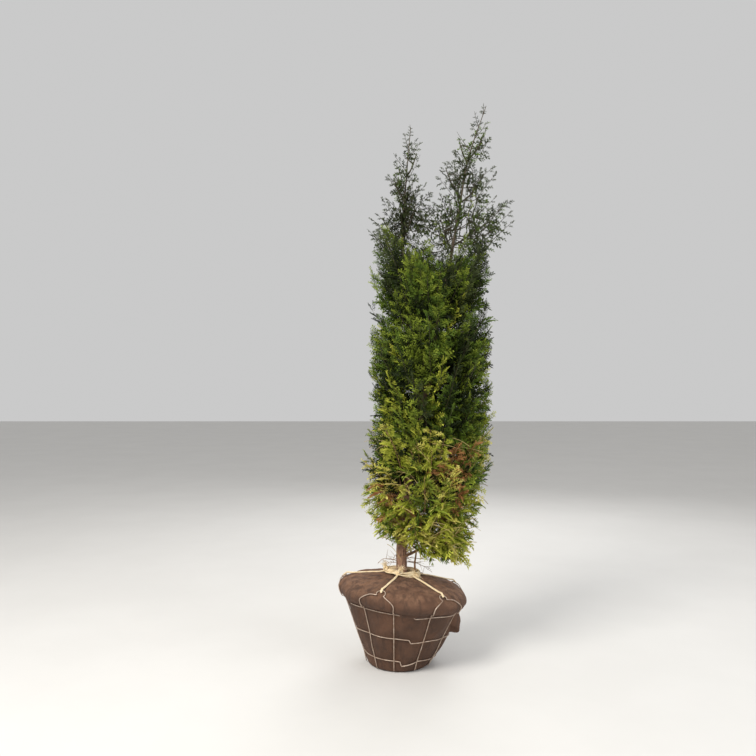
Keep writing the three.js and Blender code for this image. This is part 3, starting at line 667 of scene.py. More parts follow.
def barkRelief(paths, radii, sides, depth):
    turn = np.arange(sides) * fullTurn / sides
    height = paths[0, :, 2]
    look = shredding
    sway = sum(size * np.sin(height * waves + start) for size, waves, start in look["sways"])
    angle = turn[None] + sway[:, None] * look["swayTurn"]
    climb = np.broadcast_to(height[:, None], angle.shape)
    ridges = np.abs(np.sin(angle * look["ridgesRound"] + np.sin(climb * look["ridgesUp"]))) - 0.5
    shreds = np.sin(angle * look["shredsRound"] + climb * look["shredsUp"])
    shreds = shreds * np.sin(climb * look["breaksUp"] + angle * look["breaksRound"])
    around, up = look["grainRound"], look["grainUp"]
    grain = noiseAt(np.stack([np.cos(angle) * around, np.sin(angle) * around, climb * up], axis=-1), 1.0)
    thick = (radii[0] / radii[0].max())[:, None]
    relief = look["ridgeShare"] * ridges + look["shredShare"] * shreds + look["grainShare"] * grain
    return (depth * thick * relief)[None]


trunkBark = {"sides": 48, "steps": 620, "depth": 0.0024}
# the trunk's foot swells over the roots
buttress = {"fade": 0.05, "depth": 0.0025, "lobes": 5, "turn": 0.6}
secondBark = {"sides": 24, "steps": 300, "depth": 0.0012}
boughBark = {"sides": 12, "steps": 24, "stemSides": 8}


def barkedLeader(leader, shape, swelling=None):
    heights = np.linspace(leader["foot"], leader["tip"], shape["steps"])
    path, radii = leaderPoint(leader, heights)[None], leaderRadius(leader, heights)[None]
    relief = barkRelief(path, radii, shape["sides"], shape["depth"])
    if swelling:
        fading = np.exp(-(heights - leader["foot"]) / swelling["fade"])[None, :, None]
        turn = np.arange(shape["sides"]) * fullTurn / shape["sides"]
        relief = relief + swelling["depth"] * fading * np.cos(turn * swelling["lobes"] + swelling["turn"])
    return tubes(path, radii, shape["sides"], relief)


makePiece("trunkBark", *barkedLeader(trunk, trunkBark, buttress), finishes["bark"], "bark", ["trunk"])
makePiece("secondLeaderBark", *barkedLeader(secondLeader, secondBark), finishes["bark"], "bark",
          ["second_leader"])


def buildLimbs():
    share = np.linspace(0, 1, boughBark["steps"])
    boughPaths, stemPaths, stemRadii = [], [], []
    for mass in masses:
        elbow, stemAt = planStem(mass)
        if mass["onBough"]:
            boughPaths.append(mix(mass["base"], elbow, share[:, None]))
        stemPaths.append(stemAt(share))
        thick = tierMass["boughTipRadius"] if mass["onBough"] else tierMass["bareStem"]
        stemRadii.append(thick * (1 - tierMass["stemTaper"] * share))
    boughRadii = np.linspace(tierMass["boughRadius"], tierMass["boughTipRadius"], boughBark["steps"])
    boughs = tubes(np.array(boughPaths), np.tile(boughRadii, (len(boughPaths), 1)), boughBark["sides"])
    return boughs, tubes(np.array(stemPaths), np.array(stemRadii), boughBark["stemSides"])


boughMesh, stemMesh = buildLimbs()
boughNodes = [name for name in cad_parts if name.startswith("bough_")]
makePiece("boughs", *boughMesh, finishes["bark"], "bark", boughNodes)
print("limbs made")


# Twigs and sprays

foliage = {
    "feet": (0.18, 0.86),  # where along its stem a mass's lowest and highest twigs leave
    "strayAzimuth": 12, "strayHeight": 0.022, "strayRise": 16, "strayLength": 0.2, "twist": 0.9,
    "nod": 0.1, "footBend": 0.45,
    "lowest": 0.440,
    "leftLowest": 0.580, "leftFrom": (0.02, 0.20),  # the crown's lower edge is higher on the left
    "rightmost": 0.566,
    "hangs": {"skirt": 0.95, "lower": 0.5, "middle": 0.3, "upper": 0.25, "crest": 0.2, "spire": 0.35},
    "shares": np.concatenate([np.linspace(-1, 0, 6), np.linspace(0.15, 0.95, 5)]),
    "radii": {-1: 0.0023, 0: 0.0017, 0.95: 0.0006},
    "twigSides": 4, "dryBelow": 0.95,
}
tierNames = list(foliage["hangs"])
# twigs between the part's own
finer = {
    "count": {"skirt": 11, "lower": 15, "middle": 18, "upper": 22, "crest": 20, "spire": 1},
    "spireFoot": 20, "spireFootHeights": (2.1, 2.40),  # more where the spires leave the column
    "thinFrom": 2.36, "thinned": 0.6,  # and fewer near their tips
    "around": 3.1, "up": 3.0, "below": 0.55,
    "inner": 0.62, "spireInner": 0.25, "outer": 0.98, "outward": 0.6,
    "footClimb": 0.35, "shortest": 0.8, "longer": 0.3,
    "overlap": 0.02, "belowEdge": 0.03,
}
# short twigs straight from the top of each leader, up to its tip
leaderTwigs = {"below": 0.55, "top": 0.045, "every": 0.056, "longest": 0.165, "shortest": 0.050,
               "longFrom": (-1, 6), "rise": 38, "tipRise": 84, "riseStep": 22, "turn": 166, "firstTurn": 10,
               "along": 0.25, "alongStep": 0.004, "faceTurn": 75, "faceRise": 30, "inset": 0.12,
               "reach": 0.97}


def lowestAt(points):
    left = 1 - smoothStep(points[:, 0], *foliage["leftFrom"])
    return mix(foliage["lowest"], foliage["leftLowest"], left)


# where each twig leaves its stem and where its spray begins: the part's places first, then finer ones
def growTwigs(mass):
    draw = seededDraw(mass["seed"])

    def stray(amount):
        return (draw() - 0.5) * amount

    stemAt = planStem(mass)[1]
    own = len(mass["pattern"])
    isSpire = mass["tier"] == "spire"
    inner = finer["spireInner"] if isSpire else finer["inner"]
    count = own + finer["count"][mass["tier"]]
    if isSpire:
        below = float(1 - smoothStep(mass["middle"][2], *finer["spireFootHeights"]))
        count += round(finer["spireFoot"] * below)
    grown = []
    for number in range(count):
        if number < own:
            around, up, reach = mass["pattern"][number]
            footPlace = number / (own - 1)
        else:
            around, up = (draw() - 0.5) * finer["around"], (draw() - finer["below"]) * finer["up"]
            reach = inner + (finer["outer"] - inner) * draw() ** finer["outward"]
            footPlace = min(max(0.5 + up * finer["footClimb"], 0), 1)
        azimuth = mass["azimuth"] + around * mass["arc"] + stray(foliage["strayAzimuth"])
        height = mass["middle"][2] + up * mass["step"] + stray(foliage["strayHeight"])
        rise = mass["rise"] + stray(foliage["strayRise"])
        length = mass["spray"] * (1 + stray(foliage["strayLength"]))
        twist = stray(foliage["twist"])
        if number >= own:
            length *= finer["shortest"] + finer["longer"] * draw()
        axis = heading(azimuth, rise)
        tip = outlinePoint(mass["outline"], height + length * axis[2], azimuth, np.array(reach))
        face = heading(azimuth, 0)
        face = unit(face - axis * np.dot(face, axis))
        face = face * math.cos(twist) + np.cross(axis, face) * math.sin(twist)
        grown.append((tip - axis * length, axis, face, stemAt(mix(*foliage["feet"], footPlace)),
                      length, reach, tierNames.index(mass["tier"])))
    columns = [np.array(values) for values in zip(*grown)]
    root, axis, length = columns[0], columns[1], columns[4]
    middle = root + axis * length[:, None] * 0.5
    toOwn = np.linalg.norm(middle - mass["middle"], axis=1)
    nearest = np.linalg.norm(middle[:, None] - massMiddles[None], axis=2).min(axis=1)
    isAbove = root[:, 2] > lowestAt(root) - finer["belowEdge"]
    fits = (toOwn <= nearest + finer["overlap"]) & insideCrown(middle) & isAbove
    keep = (np.arange(count) < own) | fits
    drawn = np.array([draw() for _ in grown])
    keep &= (middle[:, 2] < finer["thinFrom"]) | (drawn < finer["thinned"])
    return [values[keep] for values in columns]


def growLeaderTwigs(leader):
    shape = leaderTwigs
    heights = np.arange(leader["tip"] - shape["top"], leader["tip"] - shape["below"], -shape["every"])
    number = np.arange(len(heights))
    foot = leaderPoint(leader, heights)
    step = shape["alongStep"]
    ahead = unit(leaderPoint(leader, heights + step) - leaderPoint(leader, heights - step))
    rise = np.maximum(shape["rise"], shape["tipRise"] - number * shape["riseStep"])
    axis = heading(number * shape["turn"] + shape["firstTurn"], rise)
    axis = unit(axis + ahead * shape["along"])
    face = unit(np.cross(axis, heading(number * shape["turn"] + shape["faceTurn"], shape["faceRise"])))
    length = mix(shape["shortest"], shape["longest"], smoothStep(number, *shape["longFrom"]))
    root = foot + axis * length[:, None] * shape["inset"]
    return (root, axis, face, foot, length, np.full(len(number), shape["reach"]),
            np.full(len(number), tierNames.index("spire")))


allGrown = [growTwigs(mass) for mass in masses]
allGrown += [growLeaderTwigs(leader) for leader in (trunk, secondLeader)]
twigKeys = ("root", "axis", "face", "foot", "length", "reach", "tier")
twigs = {key: np.concatenate(values) for key, values in zip(twigKeys, zip(*allGrown))}
twigs["across"] = np.cross(twigs["face"], twigs["axis"])
print(len(twigs["root"]), "twigs")


# a twig's line: from its foot (share -1) in a curve to its spray (share 0), then along the spray, which nods
def twigPoint(index, share):
    share = np.asarray(share, float)[..., None]
    root, foot, axis = twigs["root"][index], twigs["foot"][index], twigs["axis"][index]
    length = twigs["length"][index][..., None]
    gap = np.linalg.norm(root - foot, axis=-1, keepdims=True)
    s = np.clip(share + 1, 0, 1)
    bend = root - axis * gap * foliage["footBend"]
    lower = (1 - s) ** 2 * foot + 2 * s * (1 - s) * bend + s**2 * root
    t = np.clip(share, 0, 1)
    upper = axis * length * t + twigs["face"][index] * foliage["nod"] * length * t**2
    return lower + upper


def buildTwigs(chosen):
    shares, radii = foliage["shares"], foliage["radii"]
    paths = np.stack([twigPoint(chosen, np.full(len(chosen), s)) for s in shares], axis=1)
    thick = np.interp(shares, list(radii), list(radii.values()))
    return tubes(paths, np.tile(thick, (len(chosen), 1)), foliage["twigSides"])


foliageNodes = [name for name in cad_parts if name.startswith("foliage_")]
isDry = twigs["foot"][:, 2] < foliage["dryBelow"]
freshTwigs = joined([buildTwigs(np.flatnonzero(~isDry)), stemMesh])
makePiece("twigs", *freshTwigs, finishes["twigBark"], "foliage", foliageNodes)
makePiece("dryTwigs", *buildTwigs(np.flatnonzero(isDry)), finishes["deadTwigs"], "bark")

# a fan of scale-leaf shoots, of unit length, in shares of it and degrees
fanShape = {
    "start": 0.05, "run": 0.84,  # the stretch of the midrib that bears shoots
    "angle": 50, "closing": 18, "strayAngle": 18,
    "taper": 0.6, "footReach": 0.6, "footGrowth": 2, "shortest": 0.75, "longer": 0.5,
    "forksUpTo": 0.75, "forkStart": 0.28, "forkRun": 0.5, "forkAngle": 30, "forkStray": 16,
    "forkReach": 0.62, "forkTaper": 0.36, "forkWidth": 0.85,
    "roll": 1.3, "edgeDrop": 0.22,
}


# a midrib, alternate shoots and their own side shoots, each a kite of two triangles
def fanTemplate(seed, pairs, forks, width, spread, depth=0.02, shoulderAt=0.6):
    shape, draw = fanShape, seededDraw(seed)
    shoots = [((0.0, 0.0), 0.0, 1.0, width)]
    total = pairs * 2
    for k in range(total):
        y = shape["start"] + shape["run"] * (k + 0.5 * draw()) / total
        side = 1 if k % 2 else -1
        angle = side * math.radians(
            shape["angle"] - shape["closing"] * y + (draw() - 0.5) * shape["strayAngle"])
        reach = spread * (1 - shape["taper"] * y) * min(1, shape["footReach"] + shape["footGrowth"] * y)
        reach *= shape["shortest"] + shape["longer"] * draw()
        shoots.append(((0.0, y), angle, reach, width))
        for j in range(forks if y < shape["forksUpTo"] else 1):
            share = shape["forkStart"] + shape["forkRun"] * (j + 0.5 * draw()) / max(forks, 1)
            base = (math.sin(angle) * reach * share, y + math.cos(angle) * reach * share)
            turn = side * math.radians(shape["forkAngle"] + shape["forkStray"] * draw())
            turn *= -1 if j % 2 == 0 else 1
            forkReach = reach * (shape["forkReach"] - shape["forkTaper"] * share)
            shoots.append((base, angle + turn, forkReach, width * shape["forkWidth"]))
    points, faces = [], []
    for place, angle, reach, wide in shoots:
        ahead = np.array([math.sin(angle), math.cos(angle)])
        right = np.array([ahead[1], -ahead[0]])
        base = np.array(place)
        level, roll = (draw() - 0.5) * depth, (draw() - 0.5) * shape["roll"]
        first = len(points)
        shoulder = base + ahead * reach * shoulderAt
        edge, drop = right * wide / 2, shape["edgeDrop"]
        for (x, y), below in ((base, 0), (shoulder + edge, drop + roll), (base + ahead * reach, 0),
                              (shoulder - edge, drop - roll)):
            points.append((x, y, level - below * wide))
        faces += [(first, first + 1, first + 2), (first, first + 2, first + 3)]
    return np.array(points), np.array(faces)


# alternate fans along a twig, ever shorter and closer to it, and one at its tip
def fanRows(count, start, step, size, shrink, angle, close, tip):
    rows = [(start + step * j, 1 if j % 2 else -1, size - shrink * j, angle - close * j)
            for j in range(count)]
    return rows + [tip]


# each kind of fan: templates, how far a twig's fans are rolled about it, and the fans of a twig as rows of
# share along it, side, length and angle from it
fanKinds = {
    "fine": {
        "templates": [fanTemplate(11 + k, 6, 2, 0.046, 0.40, 0.10) for k in range(6)],
        "roll": (-70, 70), "loose": 0.16,
        "rows": fanRows(12, -0.45, 0.118, 0.66, 0.032, 56, 2.6, (0.86, 1, 0.36, 0)),
    },
    "plain": {
        "templates": [fanTemplate(31 + k, 5, 1, 0.066, 0.42, 0.10) for k in range(3)],
        "roll": (-40, 40), "loose": 0.5,
        "rows": [(-0.75, 1, 0.5, 55), (-0.6, -1, 0.5, 60), (-0.3, 1, 0.5, 30), (0.1, -1, 0.5, 25)],
    },
    "slim": {
        "templates": [fanTemplate(51 + k, 3, 1, 0.090, 0.46, shoulderAt=0.4) for k in range(6)],
        "roll": (60, 120), "loose": 0.10,
        "rows": fanRows(7, -0.20, 0.145, 0.44, 0.035, 54, 2.5, (0.78, 1, 0.26, 0)),
    },
}
kindNames = list(fanKinds)
fanStray = {"seed": 20, "share": 0.03, "angle": 9, "hang": (0.2, 0.8), "tilt": 0.3, "size": (0.8, 1.2),
            "nod": 0.16, "curl": (0.1, 0.5), "droop": (0.2, 0.6), "pastOutline": 0.012}


def layFans():
    stray, rng = fanStray, np.random.default_rng(fanStray["seed"])
    laid = []
    inSpire = twigs["tier"] == tierNames.index("spire")
    inSkirt = twigs["tier"] == tierNames.index("skirt")
    allHangs = np.array(list(foliage["hangs"].values()))[twigs["tier"]]
    chosenTwigs = {"fine": ~inSpire, "plain": ~inSpire & ~inSkirt, "slim": inSpire}
    for kind, fan in fanKinds.items():
        index = np.flatnonzero(chosenTwigs[kind])
        count = len(index)
        axis, face, side = (twigs[key][index] for key in ("axis", "face", "across"))
        hangs = allHangs[index]
        roll = np.radians(rng.uniform(*fan["roll"], count))[:, None]
        face, side = face * np.cos(roll) + side * np.sin(roll), side * np.cos(roll) - face * np.sin(roll)
        for share, turn, size, angle in fan["rows"]:
            shares = np.full(count, share) + rng.uniform(-stray["share"], stray["share"], count)
            spread = np.radians(angle + rng.uniform(-stray["angle"], stray["angle"], count))[:, None]
            loose = rng.normal(0, fan["loose"], (count, 1))
            direction = axis * np.cos(spread) + side * np.sin(spread) * turn + face * loose
            direction[:, 2] -= hangs * rng.uniform(*stray["hang"], count)
            direction = unit(direction)
            normal = face + side * rng.normal(0, stray["tilt"], (count, 1))
            normal = unit(normal - direction * np.sum(normal * direction, axis=1, keepdims=True))
            laid.append({
                "root": twigPoint(index, shares),
                "axis": direction,
                "normal": normal,
                "length": twigs["length"][index] * size * rng.uniform(*stray["size"], count),
                "nod": rng.normal(0, stray["nod"], count),
                "curl": rng.uniform(*stray["curl"], count),
                "droop": hangs * rng.uniform(*stray["droop"], count),
                "twig": index,
                "kind": np.full(count, kindNames.index(kind)),
            })
    laid = {key: np.concatenate([row[key] for row in laid]) for key in laid[0]}
    tips = laid["root"] + laid["axis"] * laid["length"][:, None]
    tips[:, 2] -= laid["droop"] * laid["length"]
    keep = insideCrown(tips, stray["pastOutline"])
    keep &= (tips[:, 2] > lowestAt(tips)) & (tips[:, 0] < foliage["rightmost"])
    return {key: value[keep] for key, value in laid.items()}


fans = layFans()
print(len(fans["root"]), "fans")

# the heights and the inner reach over which painted light low down and painted shade inside and up high are
# dealt
dealing = {"seed": 7, "low": (0.82, 1.55), "high": (1.75, 2.3), "inside": (0.6, 0.9)}


# a green for each twig's sprays: dark inside and in the spires as painted shade, bright and yellowish low
# down as painted light
def dealColors():
    tip = twigs["root"] + twigs["axis"] * twigs["length"][:, None]
    low = 1 - smoothStep(tip[:, 2], *dealing["low"])
    where = {
        "always": np.ones(len(low)),
        "inside": 1 - smoothStep(twigs["reach"], *dealing["inside"]),
        "low": low,
        "lowest": low**2,
        "upper": 1 - low,
        "high": smoothStep(tip[:, 2], *dealing["high"]),
    }
    chance = np.stack([sum(share * where[place] for place, share in green["dealt"].items())
                       for green in greens.values()], axis=1)
    chance = np.maximum(chance, 0.0)
    chance = np.cumsum(chance / chance.sum(axis=1, keepdims=True), axis=1)
    drawn = np.random.default_rng(dealing["seed"]).random(len(low))
    return (drawn[:, None] > chance).sum(axis=1).clip(0, len(greens) - 1)


def layOut(template, chosen):
    points, faces = template
    bends = ("length", "nod", "curl", "droop")
    length, nod, curl, droop = (fans[key][chosen][:, None, None] for key in bends)
    right = np.cross(fans["axis"], fans["normal"])[chosen][:, None]
    ahead, normal = fans["axis"][chosen][:, None], fans["normal"][chosen][:, None]
    x, y, z = (points[None, :, k, None] for k in range(3))
    bend = z - nod * y**2 - curl * x**2
    laid = fans["root"][chosen][:, None] + (right * x + ahead * y + normal * bend) * length
    laid[..., 2] -= (droop * y**2 * length)[..., 0]
    allFaces = faces[None] + (np.arange(len(chosen)) * len(points))[:, None, None]
    uv = np.tile(points[None, :, :2], (len(chosen), 1, 1))
    return laid.reshape(-1, 3), allFaces.reshape(-1, 3), uv.reshape(-1, 2)


sprays = {"seed": 5, "variants": 12, "mostFaces": 195000}  # of one piece


def makeSprays(name, piece, parts):
    points, faces = joined(parts)
    uv = np.concatenate([part[2] for part in parts])
    makePiece(f"{name}Sprays{piece}", points, faces, leafMaterials[name], "foliage", smooth=False, uv=uv)


def buildFoliage():
    rng = np.random.default_rng(sprays["seed"])
    isPlain = fans["kind"] == kindNames.index("plain")
    # the plain fans all get the darkest green, painted shade inside the crown
    color = np.where(isPlain, 0, dealColors()[fans["twig"]])  # the plain fans fill the inside with dark green
    variant = rng.integers(0, sprays["variants"], len(color))
    total = 0
    for number, name in enumerate(greens):
        parts, size, piece = [], 0, 1
        for kind, fan in enumerate(fanKinds.values()):
            templates = fan["templates"]
            for k, template in enumerate(templates):
                isChosen = (color == number) & (fans["kind"] == kind) & (variant % len(templates) == k)
                chosen, each = np.flatnonzero(isChosen), len(template[1])
                room = sprays["mostFaces"] // each
                for start in range(0, len(chosen), room):
                    some = chosen[start:start + room]
                    if size + len(some) * each > sprays["mostFaces"]:
                        makeSprays(name, piece, parts)
                        parts, size, piece = [], 0, piece + 1
                    parts.append(layOut(template, some))
                    size += len(some) * each
                    total += len(some) * each
        if parts:
            makeSprays(name, piece, parts)
    print(total, "triangles of leaves")


buildFoliage()


# Root ball

ball = {
    # from the rim of the underside up to the collar
    "profile": [(0.138, 0), (0.151, 0.012), (0.167, 0.054), (0.189, 0.105), (0.212, 0.162),
                (0.238, 0.223), (0.263, 0.283), (0.284, 0.297), (0.298, 0.322), (0.290, 0.349),
                (0.261, 0.373), (0.200, 0.392), (0.112, 0.407)],
    "plateau": 0.413,
    "firstAngle": math.radians(-116),
    "columns": 40,
    "firstUpright": 2,
    "lean": math.tan(math.radians(3.5)),
    "rightDrop": math.tan(math.radians(6)),
    "backDrop": math.tan(math.radians(3.5)),
    "tiltFrom": 0.090,
    "puff": 0.007,
    "lumps": 0.0035,
}
ballProfile = np.array(ball["profile"])
lastRow = len(ballProfile) - 1


def leaned(points):
    x, y, z = points[..., 0], points[..., 1], points[..., 2]
    tilt = smoothStep(z, 0, ball["tiltFrom"])
    drop = tilt * (ball["rightDrop"] * x + ball["backDrop"] * y)
    return np.stack([x + ball["lean"] * z, y, z - drop], axis=-1)


def ballAngle(columnNumber):
    return ball["firstAngle"] + columnNumber * fullTurn / ball["columns"]


# the cloth at a column round the ball and a row of its profile, lifted outwards
def ballPoint(columnNumber, row, lift=0.0):
    columnNumber, row = np.broadcast_arrays(np.asarray(columnNumber, float), np.asarray(row, float))
    angle = ballAngle(columnNumber)
    at, ahead, behind = (splinePoint(ballProfile, (row + step) / lastRow) for step in (0, 0.02, -0.02))
    slope = unit(ahead - behind)
    radius, height = at[..., 0], at[..., 1]
    panel = ((columnNumber - ball["firstUpright"]) / (2 * ball["firstUpright"])) % 1
    bulge = np.sin(math.pi * panel) * np.minimum(1, height / ball["tiltFrom"])
    lump = ball["lumps"] * (np.sin(3 * angle + height / 0.060) + np.sin(7 * angle - height / 0.045))
    lump = lump * smoothStep(height, 0, ball["tiltFrom"])
    out = radius + ball["puff"] * bulge + lump + lift * slope[..., 1]
    up = height - lift * slope[..., 0]
    return leaned(np.stack([out * np.cos(angle), out * np.sin(angle), up], axis=-1))


basket = {
    "wire": 0.0023, "sides": 8, "ringLift": 0.0038, "ringRows": [2, 4, 6], "ringStep": 0.25,
    "kinkColumns": [3, 4, 4], "kinkDepths": [0.020, 0.014, 0.009], "kinkReach": 3,
    "hookColumns": [0, 7.5, 16, 24, 32],
    "hookTops": [0.4, 7, 16, 24, 32],  # the loops, which the lashing pulls aside
    # a hook wire's climb on one side: columns from the hook, row of the profile, lift
    "climb": [(1.75, 1, 0.0059), (1.75, 2.15, 0.0059), (1.75, 3, 0.0062), (1.75, 4.15, 0.0059),
              (1.75, 6.15, 0.0059), (1.75, 7, 0.006), (1.7, 8.2, 0.006), (0.8, 9.15, 0.006)],
    "uprightAway": 1.75,
    "hookRow": 9.5, "hookLift": 0.007, "hookRadius": 0.020, "hookOpening": math.radians(20),
    "loopSteps": 8, "hookSteps": 180,
}
cloth = {
    "around": 480, "rows": 190,
    "ringPress": 0.003, "ringWidth": 0.22, "uprightPress": 0.0022, "uprightWidth": 0.16,
    "uprightFade": (8.5, 9.5),
    "crease": 0.0032, "creaseScale": 19.0, "fineScale": 46.0,
    # slack cloth over the top ring, here and there between the uprights
    "cover": 0.0095, "coverRing": 6, "coverRow": 6.1, "coverWidth": 0.35, "coverTurns": 4, "coverFrom": 0.9,
    # sharp radial pleats, where the cloth is drawn in to the collar, given as half their number
    "gather": 0.0055, "gatherRows": (8.6, 12), "pleats": 13, "smallPleats": 31,
    # drapes down the wall, deepest under the lip, also given as half their number
    "folds": 0.006, "drapes": 6.5,
    # slack cloth that hangs from the lip on the right, over the rings
    "flap": {"at": -9, "half": 17, "low": 4.75, "high": 6.4, "off": 0.030, "hem": 0.25},
    "underRings": (0.0, 0.35, 0.7), "topRings": (0.72, 0.42, 0.12),
    "mapRadius": 0.26,
}


# how far the cloth stands off the plain ball: creases, pressed wires, gathers, drapes and the flap
def clothRelief(row, col):
    angle = ballAngle(col)
    at = splinePoint(ballProfile, row / lastRow)
    radius, height = at[..., 0], at[..., 1]
    base = np.stack([np.cos(angle) * radius, np.sin(angle) * radius, height], axis=-1)
    wavy = noiseAt(base * np.array([1, 1, 0.45]), cloth["creaseScale"])
    fine = noiseAt(base * np.array([1, 1, 0.7]), cloth["fineScale"], 3.1)
    relief = cloth["crease"] * ((1 - 2.4 * np.abs(wavy)) * 0.8 + 0.55 * fine) * smoothStep(row, 0.3, 2)
    uprights = [hook + side for hook in basket["hookColumns"]
                for side in (-basket["uprightAway"], basket["uprightAway"])]
    half = ball["columns"] / 2
    away = np.min([np.abs((col - upright + half) % (2 * half) - half) for upright in uprights], axis=0)
    covered = smoothStep(np.sin(angle * cloth["coverTurns"] + cloth["coverFrom"]), -0.1, 0.5)
    covered = covered * smoothStep(away, 0.25, 0.9)
    for ringRow in basket["ringRows"]:
        near = np.exp(-(((row - ringRow) / cloth["ringWidth"]) ** 2))
        relief -= cloth["ringPress"] * near * (1 - covered * (ringRow == cloth["coverRing"]))
    pressed = np.exp(-((away / cloth["uprightWidth"]) ** 2))
    relief -= cloth["uprightPress"] * pressed * (1 - smoothStep(row, *cloth["uprightFade"]))
    sway = 0.35 * noiseAt(base, 7.0, 8.0)
    pleats = 1 - np.abs(np.sin(angle * cloth["pleats"] + sway * 9)) ** 0.7
    small = 1 - np.abs(np.sin(angle * cloth["smallPleats"] + sway * 14)) ** 0.8
    pull = smoothStep(row, *cloth["gatherRows"])
    relief -= cloth["gather"] * pull * (0.75 * pleats + 0.35 * small - 0.5)
    drape = np.abs(np.sin(angle * cloth["drapes"] + 1.2 * noiseAt(base * 0.6, 9.0, 5.0))) ** 0.6
    wall = smoothStep(row, 1.5, 5.5) * (1 - smoothStep(row, 5.8, 7.2))
    relief += cloth["folds"] * (drape - 0.6) * wall
    cover = np.exp(-(((row - cloth["coverRow"]) / cloth["coverWidth"]) ** 2))
    relief = np.maximum(relief, cloth["cover"] * covered * cover)
    flap = cloth["flap"]
    turned = (np.degrees(angle) - flap["at"] + 180) % 360 - 180
    held = 1 - smoothStep(np.abs(turned) + flap["half"] * wavy, flap["half"] * 0.3, flap["half"])
    hang = np.clip((flap["high"] - row) / (flap["high"] - flap["low"]), 0, 1)
    low = flap["low"] + 0.15 * np.sin(angle * 13) + 0.5 * wavy + 0.6 * (1 - held)
    hem = smoothStep(row, low - flap["hem"], low)
    above = 1 - smoothStep(row, flap["high"] - 0.4, flap["high"] + 0.8)
    relief += flap["off"] * held * hem * above * (0.25 + 0.75 * hang) * (1 + 0.35 * np.sin(angle * 17))
    return relief * smoothStep(row, 0, 0.5)


def buildBurlap():
    around = cloth["around"]
    rows = np.linspace(0, lastRow, cloth["rows"])
    columns = np.arange(around) * ball["columns"] / around
    row, col = np.meshgrid(rows, columns, indexing="ij")
    points = ballPoint(col, row, clothRelief(row, col))
    # the underside is flat, and the dome's middle is closed under the collar
    centre = leaned(np.array([0, 0, ball["plateau"]]))
    under = [points[0] * np.array([share, share, 1]) for share in cloth["underRings"]]
    top = [mix(centre, points[-1], share) for share in cloth["topRings"]]
    grid = np.concatenate([np.array(under), points, np.array(top)])
    k, i = np.meshgrid(np.arange(len(grid) - 1), np.arange(around), indexing="ij")
    a, b = k * around + i, k * around + (i + 1) % around
    faces = np.stack([a, b, b + around, a + around], axis=-1).reshape(-1, 4)
    # the cloth's map in metres: round the ball, and up its profile
    middles = grid.mean(axis=1)
    climbed = np.linalg.norm(np.diff(middles, axis=0), axis=1)
    widened = np.diff(np.linalg.norm(grid[:, 0, :2] - middles[:, :2], axis=1))
    v = np.concatenate([[0], np.cumsum(np.hypot(climbed, widened))])
    u = np.arange(around) / around * fullTurn * cloth["mapRadius"]
    uv = np.stack(np.meshgrid(u, v), axis=-1).reshape(-1, 2)
    return grid.reshape(-1, 3), faces, uv


points, faces, uv = buildBurlap()
makePiece("burlapBall", points, faces, burlapMaterial(), "burlap", ["root_ball"], uv=uv)
print("burlap made")


# Wire basket

def hookPath(hook, top):
    def side(sign):
        return [ballPoint(hook + sign * away, row, lift) for away, row, lift in basket["climb"]]

    centre = ballPoint(top, basket["hookRow"], basket["hookLift"])
    uphill = unit(ballPoint(top, basket["hookRow"] + 0.4, basket["hookLift"]) - centre)
    sideways = unit(ballPoint(top + 1, basket["hookRow"], basket["hookLift"]) - centre)
    opening, steps, loop = basket["hookOpening"], basket["loopSteps"], []
    for k in range(steps + 1):
        angle = math.pi + opening - (math.pi + 2 * opening) * k / steps
        loop.append(centre + (sideways * math.cos(angle) + uphill * math.sin(angle)) * basket["hookRadius"])
    return smoothPath(side(-1) + loop + side(1)[::-1], basket["hookSteps"])


def buildBasket():
    paths = []
    columns, step = ball["columns"], basket["ringStep"]
    at = np.arange(0, columns + step / 2, step)
    for row, kinkColumn, kinkDepth in zip(basket["ringRows"], basket["kinkColumns"], basket["kinkDepths"]):
        path = ballPoint(at, np.full(len(at), float(row)), basket["ringLift"])
        past = (at - kinkColumn) % columns
        path[:, 2] -= kinkDepth * np.where(past < basket["kinkReach"], 1 - past / basket["kinkReach"], 0)
        paths.append(path)
    paths += [hookPath(hook, top) for hook, top in zip(basket["hookColumns"], basket["hookTops"])]
    return joined([wireTube(path, basket["wire"], basket["sides"]) for path in paths])


makePiece("basketWires", *buildBasket(), wireMaterial(), "basket_wire", ["wire_basket"])


# Twine

twine = {
    "plies": 3, "ply": 0.0016, "sides": 6, "twistRadius": 0.0014, "pitch": 0.014,
    "collarX": 0.076, "collarY": 0.050, "centreX": 0.017, "centreY": -0.002, "collarHeight": 0.4222,
    "turns": 20, "firstTurn": 0.3, "stepsPerTurn": 150, "hankHeight": 0.014, "hankWidth": 0.0135,
    "hankInset": 0.006,
    # a strand from inside a hook, over its crown and up the dome: row of the profile, lift
    "strand": [(9.62, 0.011), (10.02, 0.0152), (10.32, 0.0094), (11, 0.0045), (11.5, 0.0045), (12, 0.0045)],
    "strandSteps": 160, "doubled": 0.0024, "collarStations": 20,
    "knotOut": 0.004, "knotTurns": 3, "knotSteps": 90,
    "knots": [
        {"at": 178, "up": 0.012, "size": 0.010, "fibres": 26, "length": 0.056, "towards": (-0.2, 0, 1.0),
         "spread": 0.30, "seed": 1},
        {"at": 262, "up": 0.018, "size": 0.010, "fibres": 34, "length": 0.048, "towards": (0, -0.1, 1.0),
         "spread": 0.38, "seed": 2},
        {"at": 318, "up": 0.000, "size": 0.009, "fibres": 26, "length": 0.042, "towards": (0.8, -0.6, 0.15),
         "spread": 0.32, "seed": 3},
    ],
    "fibre": {"steps": 7, "thick": 0.0014, "thin": 0.0005, "sides": 4, "sag": 0.3, "crook": 0.0015},
}


